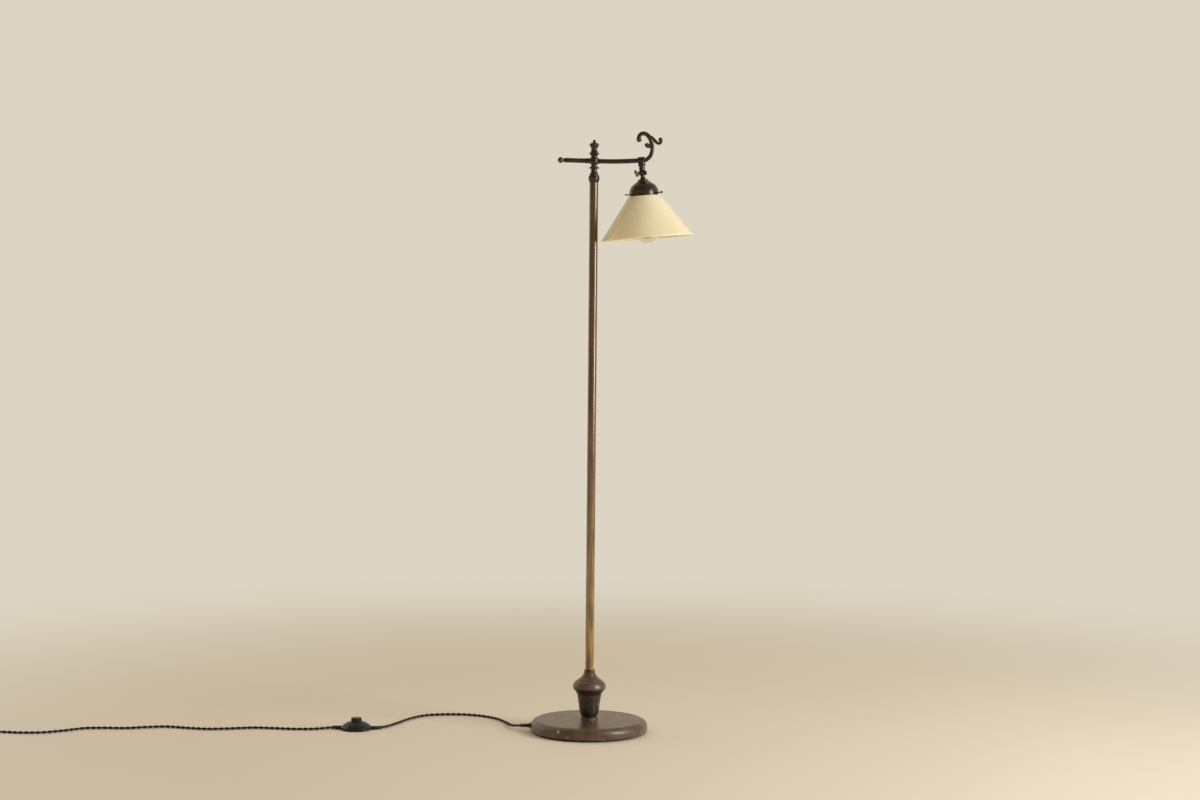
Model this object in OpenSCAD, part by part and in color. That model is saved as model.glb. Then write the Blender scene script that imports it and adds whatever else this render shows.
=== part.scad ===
// Bridge floor lamp: a weighted round base with a vase, a tube pole, a turning cross arm with a
// scroll, and a glass cone shade on a tilting knuckle. Its cord runs through a foot switch to a plug.
// Millimetres. The origin is on the floor under the pole, +Z is up and the shade hangs towards +X.

/* [Base] */
// Widest diameter of the base cover
base_d = 258; // [220:1:300]
// Height of the cover's top face above the floor
base_h = 28.5; // [26:0.5:36]
// Radius of the cover's round shoulder
base_edge_r = 14; // [8:0.5:14.5]
// Radius of the curl at the cover's lower edge
base_curl_r = 3; // [2:0.5:5]
// Height of the cover's lower edge above the floor
base_lift = 4; // [2:0.5:6]
// Thickness of the spun sheet metal
sheet_t = 1.2; // [0.8:0.1:1.6]
// Gap all round between the cover's widest edge and the iron weight
weight_inset = 11; // [8:0.5:20]
// Diameter of the pocket for the nut under the weight
pocket_d = 44; // [30:1:60]
// Height of the pocket's ceiling above the floor
pocket_h = 17; // [15.5:0.5:20]
// Width of the cord's channel in the weight
channel_w = 9; // [8:0.5:14]
// Height of the channel's ceiling above the floor
channel_h = 18; // [17:0.5:20]
// Thickness of the felt pad
felt_t = 3.5; // [2:0.5:4.5]
// Distance from the weight's edge to the felt pad's edge
felt_inset = 2; // [0:0.5:10]

/* [Tie pipe] */
// Outer diameter of the threaded lamp pipe
pipe_d = 10.2; // [9.6:0.1:10.6]
// Bore of the lamp pipe
pipe_bore = 6.8; // [6.6:0.1:7.2]
// Length of pipe that stands out below the nut
pipe_end = 0.5; // [0.2:0.1:1]
// Width of the base nut across its flats
nut_af = 17; // [14:0.5:20]
// Thickness of the base nut
nut_t = 5; // [3:0.5:5.5]
// Outer diameter of the washer
washer_d = 32; // [24:1:40]
// Thickness of the washer
washer_t = 2; // [1:0.5:3]

/* [Vase] */
// Diameter of the ring under the vase
seat_ring_d = 38.4; // [34:0.2:50]
// Height of the ring under the vase
seat_ring_h = 4; // [3:0.5:8]
// Height of the vase's seam above the ring
vase_h = 63.5; // [55:0.5:75]
// Outer radius of the vase at its foot
vase_foot_r = 16.2; // [14:0.2:17]
// Outer radius of the vase at its seam
vase_lip_r = 34.8; // [31:0.2:35.4]
// Widest radius of the vase's cap
cap_r = 36.9; // [36:0.1:42]
// Height of the cap from the seam to its neck
cap_h = 36; // [32:0.5:44]
// Outer radius of the cap's neck
cap_neck_r = 12.8; // [12:0.2:15]
// Outer radius of the collar round the pole's foot
collar_r = 12.5; // [11.6:0.1:14]
// Height of the collar
collar_h = 7.4; // [6:0.2:12]

/* [Pole] */
// Outer diameter of the pole
pole_d = 19.05; // [17.5:0.05:20]
// Wall of the pole tube
pole_wall = 1; // [0.8:0.1:1.5]
// Height of the pole's top above the floor
pole_top = 1211.8; // [1000:1:1500]
// Depth of the pole's seat in the collar
pole_seat = 5; // [3:0.5:5.5]

/* [Pole head] */
// Height of the turned coupling above the pole
coupling_h = 29.8; // [28:0.2:40]
// Widest radius of the coupling
coupling_r = 12.5; // [12:0.1:15]
// Radius of the neck above the coupling
neck_r = 6.9; // [6.4:0.1:8]
// Radius of the bearing ring
ring_r = 11.4; // [10:0.1:13]
// Thickness of the bearing ring
ring_t = 4.4; // [3:0.2:6]
// Height of the hub from its foot to its top
hub_h = 22; // [20:0.5:28]
// Radius of the hub at the arms
hub_r = 9.6; // [9:0.1:12]
// Height of the arms' axis above the hub's foot
hub_axis_h = 12.3; // [10.8:0.1:13]
// Reach of the hub's side bosses from the pole's axis
hub_boss = 11.5; // [10.5:0.5:15]
// Radius of the hub's side bosses
hub_boss_r = 5.9; // [5.8:0.1:7]
// Radius of the wiring chamber in the hub
chamber_r = 7.4; // [6.5:0.1:7.8]
// Height of the wiring chamber in the hub
chamber_h = 9; // [8:0.5:11]
// Radius of the lock bell's rim
bell_r = 11.5; // [10:0.1:14]
// Height of the lock bell
bell_h = 15.6; // [14:0.2:20]
// Radius of the finial's ball
finial_r = 10.6; // [8.5:0.1:13]
// Height of the finial
finial_h = 20.8; // [18:0.2:28]
// Diameter of the finial's stud
stud_d = 6; // [4:0.5:7]

/* [Arm] */
// Distance from the pole's axis to the shade's hanging point
arm_reach = 103.5; // [95:0.5:160]
// Downward slope of the arm where it leaves the hub, in degrees
arm_slope = 2.2; // [0:0.2:4]
// Upward slope of the arm's end, and tilt of the hanging axis, in degrees
arm_rise = 5; // [2:0.5:8]
// Upward slope of the tail rod away from the hub, in degrees
tail_slope = 1.2; // [0:0.2:3]
// Outer diameter of the arm tube and the tail rod
arm_d = 10.2; // [9:0.1:11]
// Bore of the arm tube
arm_bore = 6.8; // [6.6:0.1:7.4]
// Distance from the pole's axis to the end knob's centre
tail_reach = 73.3; // [50:0.1:90]
// Diameter of the end knob
knob_d = 13.2; // [12:0.2:20]
// Length of the end knob
knob_l = 12.6; // [9:0.2:14]
// Diameter of the ferrule beside the hub
ferrule_d = 11.4; // [11.2:0.1:14]
// Length of the ferrule
ferrule_l = 8; // [5:0.5:14]

/* [Scroll end] */
// Radius of the cross collar at the arm's end
end_r = 7.5; // [7:0.1:9]
// Length of the cross collar
end_l = 15.5; // [14:0.5:20]
// Height of the outlet's boss below the cross collar's rim
outlet_stand = 0.2; // [0.2:0.1:2]
// Radius of the outlet's boss
outlet_r = 6.3; // [6:0.1:7.5]
// Radius of the check ring
check_r = 9.2; // [8:0.1:11]
// Thickness of the check ring
check_t = 3.4; // [2:0.2:5]
// Thickness of the scroll at its root
scroll_d = 8; // [5:0.2:9]

/* [Knuckle] */
// Drop of the tilt pivot below the arm's axis
pivot_drop = 28; // [27:0.5:34]
// Radius of the knuckle's stem
stem_r = 6.7; // [6.4:0.1:7]
// Radius of the knuckle's barrel
barrel_r = 5.5; // [5:0.1:6]
// Half length of the knuckle's barrel
barrel_half = 6.5; // [5.5:0.1:7.5]
// Thickness of the friction washer
friction_t = 0.8; // [0.4:0.1:1.2]
// Diameter of the clamp screw
clamp_d = 3.4; // [3:0.1:4]
// Height of the clamp screw's oval thumb disc
thumb_h = 15.5; // [10:0.5:17]
// Width of the thumb disc from front to back
thumb_w = 11; // [8:0.5:14]
// Thickness of the thumb disc
thumb_t = 3; // [2:0.2:4]
// Slant of the thumb disc, in degrees
thumb_slant = 18; // [0:1:22]
// Turn of the thumb disc towards the front, in degrees
thumb_turn = 20; // [0:1:30]
// Radius of the neck under the knuckle
shade_neck_r = 4.5; // [4.2:0.1:5]
// Radius of the small cap under the neck
small_cap_r = 11.7; // [10:0.1:14]

/* [Fitter] */
// Drop of the small cap's foot below the arm's axis
cap_drop = 44.5; // [44:0.5:50]
// Height of the fitter's dome from the small cap to its bead
dome_h = 21.5; // [18:0.5:26]
// Outer radius of the fitter's band
band_r = 31.6; // [31:0.1:34]
// Height of the fitter's band below the bead
band_h = 11; // [10:0.5:16]
// Diameter of the thumbscrews' shanks
screw_d = 3.2; // [2.4:0.1:4]
// Reach of a thumbscrew out of the band
screw_reach = 14.7; // [10:0.1:20]
// Diameter of the thumbscrews' heads
screw_head_d = 5; // [4:0.1:8]
// Length of the thumbscrews' heads
screw_head_l = 3.4; // [2:0.1:6]

/* [Glass shade] */
// Diameter of the shade's rim
shade_d = 203; // [160:1:260]
// Drop of the rim below the fitter's band
shade_h = 92.7; // [70:0.1:120]
// Thickness of the glass
glass_t = 3; // [2:0.1:4]
// Diameter of the shade's lip in the fitter
lip_d = 57; // [50:0.5:58]
// Depth of the groove under the lip
lip_groove = 1.3; // [0.8:0.1:2]

/* [Socket and bulb] */
// Outer radius of the socket's brass shell
socket_r = 18; // [17.4:0.1:19]
// Length of the socket
socket_l = 48.5; // [46:0.5:54]
// Wall of the socket's brass shell
socket_wall = 0.8; // [0.6:0.1:1]
// Diameter of the bulb's screw base
bulb_base_d = 26.6; // [26:0.1:26.8]
// Diameter of the bulb's globe
bulb_d = 60; // [50:1:60]
// Length of the bulb with its base
bulb_l = 107.4; // [100:0.1:112]

/* [Foot switch] */
// Diameter of the foot switch
switch_d = 69; // [60:1:80]
// Height of the switch's housing
switch_h = 14.8; // [14:0.2:20]
// Height of the switch's bottom plate
switch_plate_h = 3.8; // [3.5:0.1:4.5]
// Wall of the switch's cover
switch_wall = 2; // [1.6:0.1:2.4]
// Diameter of the button
button_d = 23.4; // [20:0.1:26]
// Height of the button's top above the floor
button_h = 23.4; // [21:0.1:28]
// Travel of the button
button_travel = 4; // [2:0.5:4.5]

/* [Cord and plug] */
// Diameter over the pair of wires inside the pipes
wires_d = 5.2; // [4:0.1:5.6]
// Diameter over the twisted cord
cord_d = 6.6; // [6:0.1:7]
// Distance between turns of the stored coil
coil_pitch = 7.4; // [7.1:0.1:9]
// Height between the two layers of the coil
coil_step = 7.4; // [7.1:0.1:9]
// Least radius of the coil's spiral
coil_r = 24; // [20:1:32]
// Thickness of the strap that ties the coil
tie_t = 1.2; // [0.8:0.1:1.6]
// Width of the strap that ties the coil
tie_w = 10; // [5:0.5:16]
// Diameter of the plug
plug_d = 24.4; // [22:0.1:30]
// Length of the plug's body
plug_l = 32; // [28:1:44]
// Length of the plug's blades
blade_l = 16; // [14:0.5:18]

/* [Hidden] */

$fn = 72;
// Gap between faces that are clamped or stacked together
seat_gap = 0.05;
// Radial gap of a thread or a pressed seat
thread_gap = 0.05;
// Radial gap of a shaft that turns in its bore
run_gap = 0.08;
// Gap between faces that turn or slide past each other
slide_gap = 0.2;
// Gap round wires and pieces that only lie beside each other
loose_gap = 0.3;
// Small overrun of a cut past the face that it opens
over = 1;

// Brown bronze, worn brass and the other colours in the picture
bronze = [0.16, 0.12, 0.09];
brown = [0.27, 0.20, 0.15];
brass = [0.62, 0.46, 0.22];
steel = [0.62, 0.62, 0.62];
iron = [0.20, 0.20, 0.21];
opal = [0.94, 0.87, 0.68];
black = [0.07, 0.07, 0.07];
cloth = [0.13, 0.11, 0.08];

// ---- Outlines and sweeps ----

// Points on an arc round c from angle a to angle b
function arc(c, r, a, b, n) = [for (i = [0:n]) c + r * [cos(a + (b - a) * i / n), sin(a + (b - a) * i / n)]];

// Points on a quadratic curve from a to c that heads for b
function bend(a, b, c, n) = [for (i = [0:n]) let (s = i / n) (1 - s) * (1 - s) * a + 2 * s * (1 - s) * b + s * s * c];

function unit(v) = v / norm(v);

// Direction of an open line of points at point i
function heading(p, i) = unit(p[min(i + 1, len(p) - 1)] - p[max(i - 1, 0)]);

// Closed outline of a sheet of thickness t on the right-hand side of an open line
function sheet(p, t) = concat(p, [for (i = [len(p) - 1:-1:0])
    let (d = heading(p, i)) p[i] + t * [d.y, -d.x]]);

// Outline between an open line of [radius, height] points and a bore
function bored(p, r) = concat(p, [[r, p[len(p) - 1].y], [r, p[0].y]]);

module revolve(outline) rotate_extrude() polygon(outline);

module pipe(r, bore, z0, z1) {
    translate([0, 0, z0]) difference() {
        cylinder(r = r, h = z1 - z0);
        translate([0, 0, -over]) cylinder(r = bore, h = z1 - z0 + 2 * over);
    }
}

// A cylinder along X from x0 to x1
module xrod(r, x0, x1) translate([x0, 0, 0]) rotate([0, 90, 0]) cylinder(r = r, h = x1 - x0);

// A round bar from point a to point b
module bar(a, b, r) {
    d = b - a;
    translate(a) rotate([0, acos(d.z / norm(d)), atan2(d.y, d.x)]) cylinder(r = r, h = norm(d));
}

// A bar through several points, with round joints a little wider than the bar
module bent_bar(p, r) {
    for (i = [0:len(p) - 2]) bar(p[i], p[i + 1], r);
    for (i = [1:len(p) - 2]) translate(p[i]) sphere(r = r + 0.15);
}

// Point at share s of a smooth curve between b and c, with a and d as its neighbours
function spline(a, b, c, d, s) = 0.5 * (2 * b + (c - a) * s + (2 * a - 5 * b + 4 * c - d) * s * s
    + (3 * b - a - 3 * c + d) * s * s * s);

// A smooth line through points, with n steps from each to the next
function smooth(p, n) = concat([for (i = [0:len(p) - 2]) for (j = [0:n - 1])
    spline(p[max(i - 1, 0)], p[i], p[i + 1], p[min(i + 2, len(p) - 1)], j / n)], [p[len(p) - 1]]);

// Ring i of a tube along the points, square to the line, with side as a vector never along it
function ring(p, i, r, sides, side) = let (d = heading(p, i), u = unit(cross(d, side)), v = cross(u, d))
    [for (k = [0:sides - 1]) p[i] + r * (cos(360 * k / sides) * u + sin(360 * k / sides) * v)];

// One closed tube along points, with one radius for each point
module swept(p, radii, sides, side) {
    points = [for (i = [0:len(p) - 1]) each ring(p, i, radii[i], sides, side)];
    walls = [for (i = [0:len(p) - 2]) for (k = [0:sides - 1])
        let (a = i * sides + k, b = i * sides + (k + 1) % sides)
        each [[a, b, b + sides], [a, b + sides, a + sides]]];
    last = (len(p) - 1) * sides;
    ends = [for (k = [1:sides - 2]) each [[0, k + 1, k], [last, last + k, last + k + 1]]];
    polyhedron(points = points, faces = concat(walls, ends));
}

module cord(p, sides) swept(p, [for (i = p) cord_d / 2], sides, [0, 0, 1]);

// ---- Heights and places that follow from the sizes ----

pipe_r = pipe_d / 2;
pipe_fit = pipe_r + thread_gap;
arm_r = arm_d / 2;
arm_fit = arm_r + thread_gap;
lead_r = wires_d / 2;
// Radius of the wires through the knuckle, and how far they lie to each side of its seam
wire_r = 1.5;
wire_x = 2.1;

weight_d = base_d - 2 * weight_inset;
felt_d = weight_d - 2 * felt_inset;
weight_top = base_h - sheet_t - seat_gap;
washer_z = pocket_h - washer_t - seat_gap;
nut_z = washer_z - nut_t - seat_gap;
pipe_z = nut_z - pipe_end;
bushing_z = 13.3;
bushing_out = 2.5;

seat_ring_top = base_h + seat_gap + seat_ring_h;
vase_z = seat_ring_top + seat_gap;
seam_z = vase_z + vase_h;
cap_z = seam_z + cap_h;
collar_z = cap_z + seat_gap;
collar_top = collar_z + collar_h;
pole_r = pole_d / 2;

coupling_top = pole_top + coupling_h;
ring_z = coupling_top + seat_gap;
hub_z = ring_z + ring_t + slide_gap;
axis_z = hub_z + hub_axis_h;
bell_z = hub_z + hub_h + slide_gap;
finial_z = bell_z + bell_h + seat_gap;
nipple_top = bell_z + bell_h - 7;
pipe_top = pole_top + 10;

arm_bend_r = arm_reach / (sin(arm_rise) + sin(arm_slope));
end_z = axis_z + arm_bend_r * (cos(arm_slope) - cos(arm_rise));
tube_start = 7.6;
tube_end = lead_r + loose_gap;
outlet_drop = end_r + 0.6 + outlet_stand;

check_top = -outlet_drop - seat_gap;
check_bottom = check_top - check_t;
stem_top = check_bottom - seat_gap;
stem_foot = -pivot_drop + barrel_r - 1.2;
half_gap = friction_t / 2 + seat_gap;
swing_r = barrel_r + 0.5;
nipple_drop = -stem_top + 7;
outlet_top = -arm_r - 0.3;

dome_top = -cap_drop - seat_gap;
bead_z = dome_top - dome_h;
band_z = bead_z - band_h;
screw_z = band_z + 3.6;
shade_top_z = band_z + 10.2;
rim_z = band_z - shade_h;
lip_r = lip_d / 2;
groove_r = lip_r - lip_groove;

socket_top = dome_top - sheet_t - 4.4;
socket_z = socket_top - socket_l;
core_r = socket_r - socket_wall - seat_gap;
core_top = socket_top - socket_wall - seat_gap;
base_r = bulb_base_d / 2;
screw_shell_in = base_r + loose_gap;
screw_shell_out = screw_shell_in + 0.5;
contact_z = core_top - 20;
bulb_tip_z = contact_z - 2;
bulb_end_z = bulb_tip_z - bulb_l;
bulb_neck_z = bulb_tip_z - 24.2;

// Pieces under the arm's end, with the hanging axis as their Z
module hang() translate([arm_reach, 0, end_z]) rotate([0, -arm_rise, 0]) children();

// Pieces along the tail, with the hub's centre as their origin and the tail towards their -X
module along_tail() translate([0, 0, axis_z]) rotate([0, tail_slope, 0]) children();

// Ring section of the arm's curve, from x0 on its centre line to short of the hanging axis by x1
module arm_curve(x0, x1) {
    start = asin(x0 / arm_bend_r - sin(arm_slope));
    turn = arm_rise - start - x1 / arm_bend_r * 180 / PI;
    translate([0, 0, axis_z] + arm_bend_r * [sin(arm_slope), 0, cos(arm_slope)])
        rotate([90, 0, 0]) rotate([0, 0, start - 90])
        rotate_extrude(angle = turn, $fn = 360) translate([arm_bend_r, 0]) children();
}

// ---- Base ----

module base_felt() {
    color("darkolivegreen") cylinder(d = felt_d, h = felt_t - seat_gap);
}

module base_weight() {
    color(iron) difference() {
        revolve([[0, felt_t], [weight_d / 2, felt_t], [weight_d / 2, weight_top - 0.6 * base_edge_r],
            [weight_d / 2 - 0.6 * base_edge_r, weight_top], [0, weight_top]]);
        cylinder(r = pipe_r + loose_gap, h = base_h);
        translate([0, 0, felt_t - over]) cylinder(d = pocket_d, h = pocket_h - felt_t + over);
        translate([-weight_d, -channel_w / 2, felt_t - over])
            cube([weight_d, channel_w, channel_h - felt_t + over]);
    }
}

module base_cover() {
    edge = base_d / 2 - base_edge_r;
    curl = base_d / 2 - base_curl_r;
    line = concat([[pipe_fit, base_h], [edge / 2, base_h]],
        arc([edge, base_h - base_edge_r], base_edge_r, 90, 0, 8),
        arc([curl, base_lift + base_curl_r], base_curl_r, 0, -90, 6));
    color(brown) difference() {
        revolve(sheet(line, sheet_t));
        translate([0, 0, bushing_z]) xrod(bushing_body_r + thread_gap, -base_d, -base_d / 2 + 20);
    }
}

module base_washer() {
    color(steel) pipe(washer_d / 2, pipe_fit, washer_z, pocket_h - seat_gap);
}

module base_nut() {
    color(steel) difference() {
        translate([0, 0, nut_z]) cylinder(d = nut_af / cos(30), h = nut_t, $fn = 6);
        cylinder(r = pipe_fit, h = base_h);
    }
}

bushing_body_r = cord_d / 2 + 1.8;

// Flanged bushing that the cord enters through, with a lip inside the cover
module cord_bushing() {
    face = -base_d / 2 - bushing_out;
    color(black) translate([0, 0, bushing_z]) difference() {
        union() {
            xrod(bushing_body_r + 1.6, face, face + bushing_out);
            xrod(bushing_body_r, face, -base_d / 2 + 6);
            xrod(bushing_body_r + 0.8, -base_d / 2 + 3, -base_d / 2 + 5);
        }
        xrod(cord_d / 2 + 0.1, face - over, -base_d / 2 + 7);
    }
}

module tie_pipe() {
    color(steel) pipe(pipe_r, pipe_bore / 2, pipe_z, pipe_top);
}

// ---- Vase ----

module seat_ring() {
    r = seat_ring_d / 2;
    line = concat([[r - 2, seat_ring_top]], arc([r - 1.2, seat_ring_top - 1.2], 1.2, 90, 0, 4),
        [[r, base_h + seat_gap]]);
    color(brown) revolve(bored(line, pipe_fit));
}

module vase_body() {
    waist_r = 0.53 * vase_lip_r + 0.53 * vase_foot_r;
    line = concat(bend([vase_lip_r, seam_z - 0.68 * sheet_t], [vase_lip_r - 5.5, seam_z - 4.5],
            [waist_r, seam_z - 12], 8),
        bend([waist_r, seam_z - 12], [waist_r - 2.1, seam_z - 22], [vase_foot_r + 5.7, vase_z + 19], 6),
        bend([vase_foot_r + 5.7, vase_z + 19], [vase_foot_r + 4.3, vase_z + 8], [vase_foot_r, vase_z + 2.5], 6),
        [[vase_foot_r, vase_z], [pipe_fit, vase_z]]);
    color(bronze) revolve(sheet(line, sheet_t));
}

module vase_cap() {
    step_r = cap_r - 11.9;
    line = concat([[cap_neck_r, cap_z]],
        bend([cap_neck_r, cap_z - 1.1], [cap_neck_r + 3.5, cap_z - 9.5], [step_r, cap_z - 14.6], 8),
        [[step_r + 0.1, cap_z - 16.2]],
        bend([step_r + 1.9, cap_z - 16.5], [cap_r - 2, cap_z - 20], [cap_r, seam_z + 5.4], 10),
        bend([cap_r, seam_z + 5], [cap_r, seam_z + 1.6], [vase_lip_r - 1.1, seam_z], 6));
    color(brown) revolve(sheet(line, sheet_t));
}

// Collar with a spigot in the vase's cap and a seat for the pole
module pole_collar() {
    line = concat([[collar_r - 1.4, collar_top]], arc([collar_r - 1.4, collar_top - 1.4], 1.4, 90, -90, 8),
        [[collar_r - 1, collar_top - 3.6], [collar_r - 0.4, collar_top - 4.4], [collar_r - 0.2, collar_z],
        [cap_neck_r - sheet_t - loose_gap, collar_z], [cap_neck_r - sheet_t - loose_gap, collar_z - 2]]);
    color(bronze) difference() {
        revolve(bored(line, pipe_fit));
        translate([0, 0, collar_top - pole_seat]) cylinder(r = pole_r + thread_gap, h = pole_seat + over);
    }
}

module pole_tube() {
    color(brass) pipe(pole_r, pole_r - pole_wall, collar_top - pole_seat + seat_gap, pole_top);
}

// ---- Pole head ----

module pole_coupling() {
    spigot_r = pole_r - pole_wall - thread_gap;
    z = pole_top + seat_gap;
    line = concat([[neck_r, coupling_top]],
        bend([neck_r, z + 25], [neck_r + 0.2, z + 20.5], [coupling_r - 2.3, z + 17.6], 6),
        bend([coupling_r - 2.3, z + 17.6], [coupling_r - 1.8, z + 15.8], [coupling_r - 2.5, z + 14.8], 3),
        bend([coupling_r - 2.4, z + 14.5], [coupling_r - 0.9, z + 14.2], [coupling_r - 0.2, z + 11.6], 4),
        bend([coupling_r - 0.2, z + 11.6], [coupling_r + 0.4, z + 6.5], [pole_r + 0.4, z], 6),
        [[spigot_r, z], [spigot_r, z - 9]]);
    color(bronze) revolve(bored(line, pipe_fit));
}

module bearing_ring() {
    top = ring_z + ring_t;
    line = concat([[neck_r + 0.6, top]], bend([neck_r + 1, top - 0.2], [ring_r - 1, top - 0.6],
            [ring_r, top - 2], 5),
        bend([ring_r, top - 2.2], [ring_r - 0.2, ring_z], [ring_r - 1.8, ring_z], 4));
    color(bronze) revolve(bored(line, pipe_fit));
}

// Upright pipe that the hub turns on, with a window for the wires
module pivot_nipple() {
    color(steel) difference() {
        pipe(pipe_r, pipe_bore / 2, pipe_top + 2, nipple_top);
        translate([0, 0, axis_z]) xrod(2.2, 0, pipe_d);
    }
}

// Nut over the hub that keeps it on its pivot
module lock_bell() {
    z = bell_z;
    line = concat([[neck_r - 0.3, z + bell_h]],
        bend([neck_r - 0.3, z + bell_h - 0.4], [neck_r + 0.7, z + 9.2], [bell_r - 0.6, z + 7], 7),
        bend([bell_r - 0.2, z + 6.6], [bell_r + 0.2, z + 5.6], [bell_r - 0.8, z + 4.8], 4),
        bend([bell_r - 0.8, z + 4.8], [neck_r + 0.4, z + 2.6], [neck_r - 0.3, z], 5),
        [[pipe_fit, z], [pipe_fit, nipple_top + 0.2], [stud_d / 2 + thread_gap, nipple_top + 0.2],
        [stud_d / 2 + thread_gap, z + bell_h]]);
    color(bronze) revolve(line);
}

// Turned finial with its stud in the lock bell
module finial() {
    z = finial_z;
    ball = z + finial_h - 11.8;
    line = concat([[0, z + finial_h]], arc([0.3, z + finial_h - 3.3], 3.3, 85, -40, 7),
        bend([finial_r * 0.42, ball + 5.6], [finial_r - 1, ball + 4.8], [finial_r, ball + 0.6], 6),
        bend([finial_r, ball], [finial_r - 0.6, ball - 3.2], [neck_r + 0.7, ball - 5], 5),
        bend([neck_r + 0.6, ball - 5.2], [neck_r - 0.3, ball - 6.6], [neck_r - 0.1, z], 4),
        [[stud_d / 2, z], [stud_d / 2, z - 6], [0, z - 6]]);
    color(bronze) revolve(line);
}

// Wires from the bushing through the weight's channel and up the pipe to the hub
module lead_in_stand() {
    low = felt_t + lead_r + 0.2;
    color(black) bent_bar([[-base_d / 2 - bushing_out, 0, bushing_z], [-pocket_d / 2 - 20, 0, bushing_z],
        [-pocket_d / 2 + 4, 0, low], [0, 0, low], [0, 0, axis_z + lead_r]], lead_r);
}

// ---- Cross arm ----

module hub() {
    line = concat([[neck_r - 0.3, hub_z + hub_h]],
        bend([neck_r - 0.2, hub_z + hub_h - 0.6], [hub_r - 0.4, hub_z + hub_h - 2.4],
            [hub_r, axis_z + 3.6], 5),
        bend([hub_r, axis_z - 2.4], [hub_r - 0.2, axis_z - 5.6], [neck_r + 0.3, axis_z - 7.2], 5),
        [[neck_r - 0.1, axis_z - 8.6], [neck_r, hub_z]]);
    color(bronze) difference() {
        union() {
            revolve(bored(line, pipe_r + run_gap));
            difference() {
                union() {
                    along_tail() xrod(hub_boss_r, -hub_boss, 0);
                    translate([0, 0, axis_z]) rotate([0, arm_slope, 0]) xrod(hub_boss_r, 0, hub_boss);
                }
                cylinder(r = pipe_r + run_gap, h = 2 * pole_top);
            }
        }
        translate([0, 0, axis_z - chamber_h / 2]) cylinder(r = chamber_r, h = chamber_h);
        arm_curve(chamber_r - 1.5, 0.8 * arm_reach) circle(r = arm_fit);
        along_tail() xrod(arm_fit, -hub_boss - over, -chamber_r - 0.6);
    }
}

module tail_ferrule() {
    color(bronze) along_tail() difference() {
        xrod(ferrule_d / 2, -hub_boss - seat_gap - ferrule_l, -hub_boss - seat_gap);
        xrod(arm_fit, -tail_reach, 0);
    }
}

knob_face = tail_reach - knob_l / 2;

module tail_rod() {
    color(bronze) along_tail() {
        xrod(arm_r, -knob_face + 2, -chamber_r - 0.8);
        xrod(arm_r - 0.9, -knob_face + seat_gap, -knob_face + 2);
        xrod(stud_d / 2 - 0.5, -tail_reach, -knob_face + 1);
    }
}

module ball_knob() {
    hole_r = stud_d / 2 - 0.5 + thread_gap;
    r = knob_d / 2;
    half = knob_l / 2;
    line = concat([for (i = [0:12]) let (a = 180 * i / 12) [r * sin(a), half * cos(a)]]);
    color(brass) along_tail() translate([-tail_reach, 0, 0]) rotate([0, 90, 0]) difference() {
        revolve(line);
        translate([0, 0, -seat_gap]) cylinder(r = hole_r, h = knob_l);
        translate([0, 0, half - 0.6]) cylinder(r = r, h = knob_l);
    }
}

module arm_tube() {
    color(bronze) arm_curve(tube_start, tube_end) difference() {
        circle(r = arm_r);
        circle(r = arm_bore / 2);
    }
}

// Cross collar with the arm's socket on one side and an outlet below
module end_collar() {
    half = end_l / 2;
    line = concat([[0, half]], arc([end_r - 1.4, half - 1.4], 1.4, 90, 0, 4),
        [[end_r, -half + 2.4], [end_r + 0.6, -half + 1.8], [end_r + 0.6, -half + 0.6],
        [end_r, -half], [0, -half]]);
    color(bronze) hang() difference() {
        union() {
            rotate([0, 90, 0]) revolve(line);
            translate([0, 0, -outlet_drop]) cylinder(r = outlet_r, h = outlet_drop);
        }
        xrod(arm_fit, -end_l, -tube_end + 0.4);
        sphere(r = arm_bore / 2 + 0.5);
        xrod(arm_bore / 2, -tube_end, 0);
        translate([0, 0, -outlet_drop - over])
            cylinder(r = pipe_fit, h = outlet_drop + over + outlet_top + 0.2);
        translate([0, 0, -outlet_drop]) cylinder(r = arm_bore / 2, h = outlet_drop);
    }
}

// Centre lines of the scroll and its two tendrils, across and up from the cross collar's centre
scroll_main = [[13.4, 2], [19, 6.5], [22.8, 13.3], [25, 20.3], [25.8, 27.8], [25, 35.3], [23.2, 43.3],
    [20.4, 49.8], [15.9, 54.9], [10.2, 58], [4.5, 57.4], [0.2, 54.2], [-2, 49.7], [-1.6, 45.4]];
scroll_outer = [[18.8, 52.2], [22.9, 49.9], [27.6, 45.6], [32.4, 40.4], [36.5, 35.8], [40.6, 33.4],
    [44.8, 35], [46.5, 38.6], [45, 41.6]];
scroll_inner = [[24.8, 38.2], [23.8, 35], [22, 31.8], [19.6, 29], [17, 28.2], [15, 29.8], [14.3, 32]];

// A tapered bar along flat points, with thicknesses given at shares of its length and a round tip
module tendril(flat, thick, steps, root = []) {
    line = [for (q = concat(root, smooth(flat, steps))) [q.x, 0, q.y]];
    n = len(line) - 1;
    wide = [for (i = [0:n]) lookup(i / n, thick) * scroll_d / 2];
    tip = unit(line[n] - line[n - 1]) * wide[n];
    path = concat(line, [line[n] + 0.5 * tip, line[n] + 0.87 * tip]);
    swept(path, concat(wide, [0.87 * wide[n], 0.5 * wide[n]]), 10, [0, 1, 0]);
}

module scroll() {
    face = end_l / 2;
    color(bronze) hang() {
        tendril(concat([[face + 1.6, 0]], scroll_main),
            [[0, 0.94], [0.2, 0.88], [0.36, 0.84], [0.5, 0.92], [0.62, 0.96], [0.8, 0.88], [0.92, 0.94],
                [1, 1.06]], 3,
            [[face + seat_gap, 0]]);
        tendril(scroll_outer, [[0, 0.5], [0.25, 0.72], [0.6, 0.56], [0.85, 0.62], [1, 0.8]], 2);
        tendril(scroll_inner, [[0, 0.5], [0.3, 0.62], [0.7, 0.54], [1, 0.72]], 2);
    }
}

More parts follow.
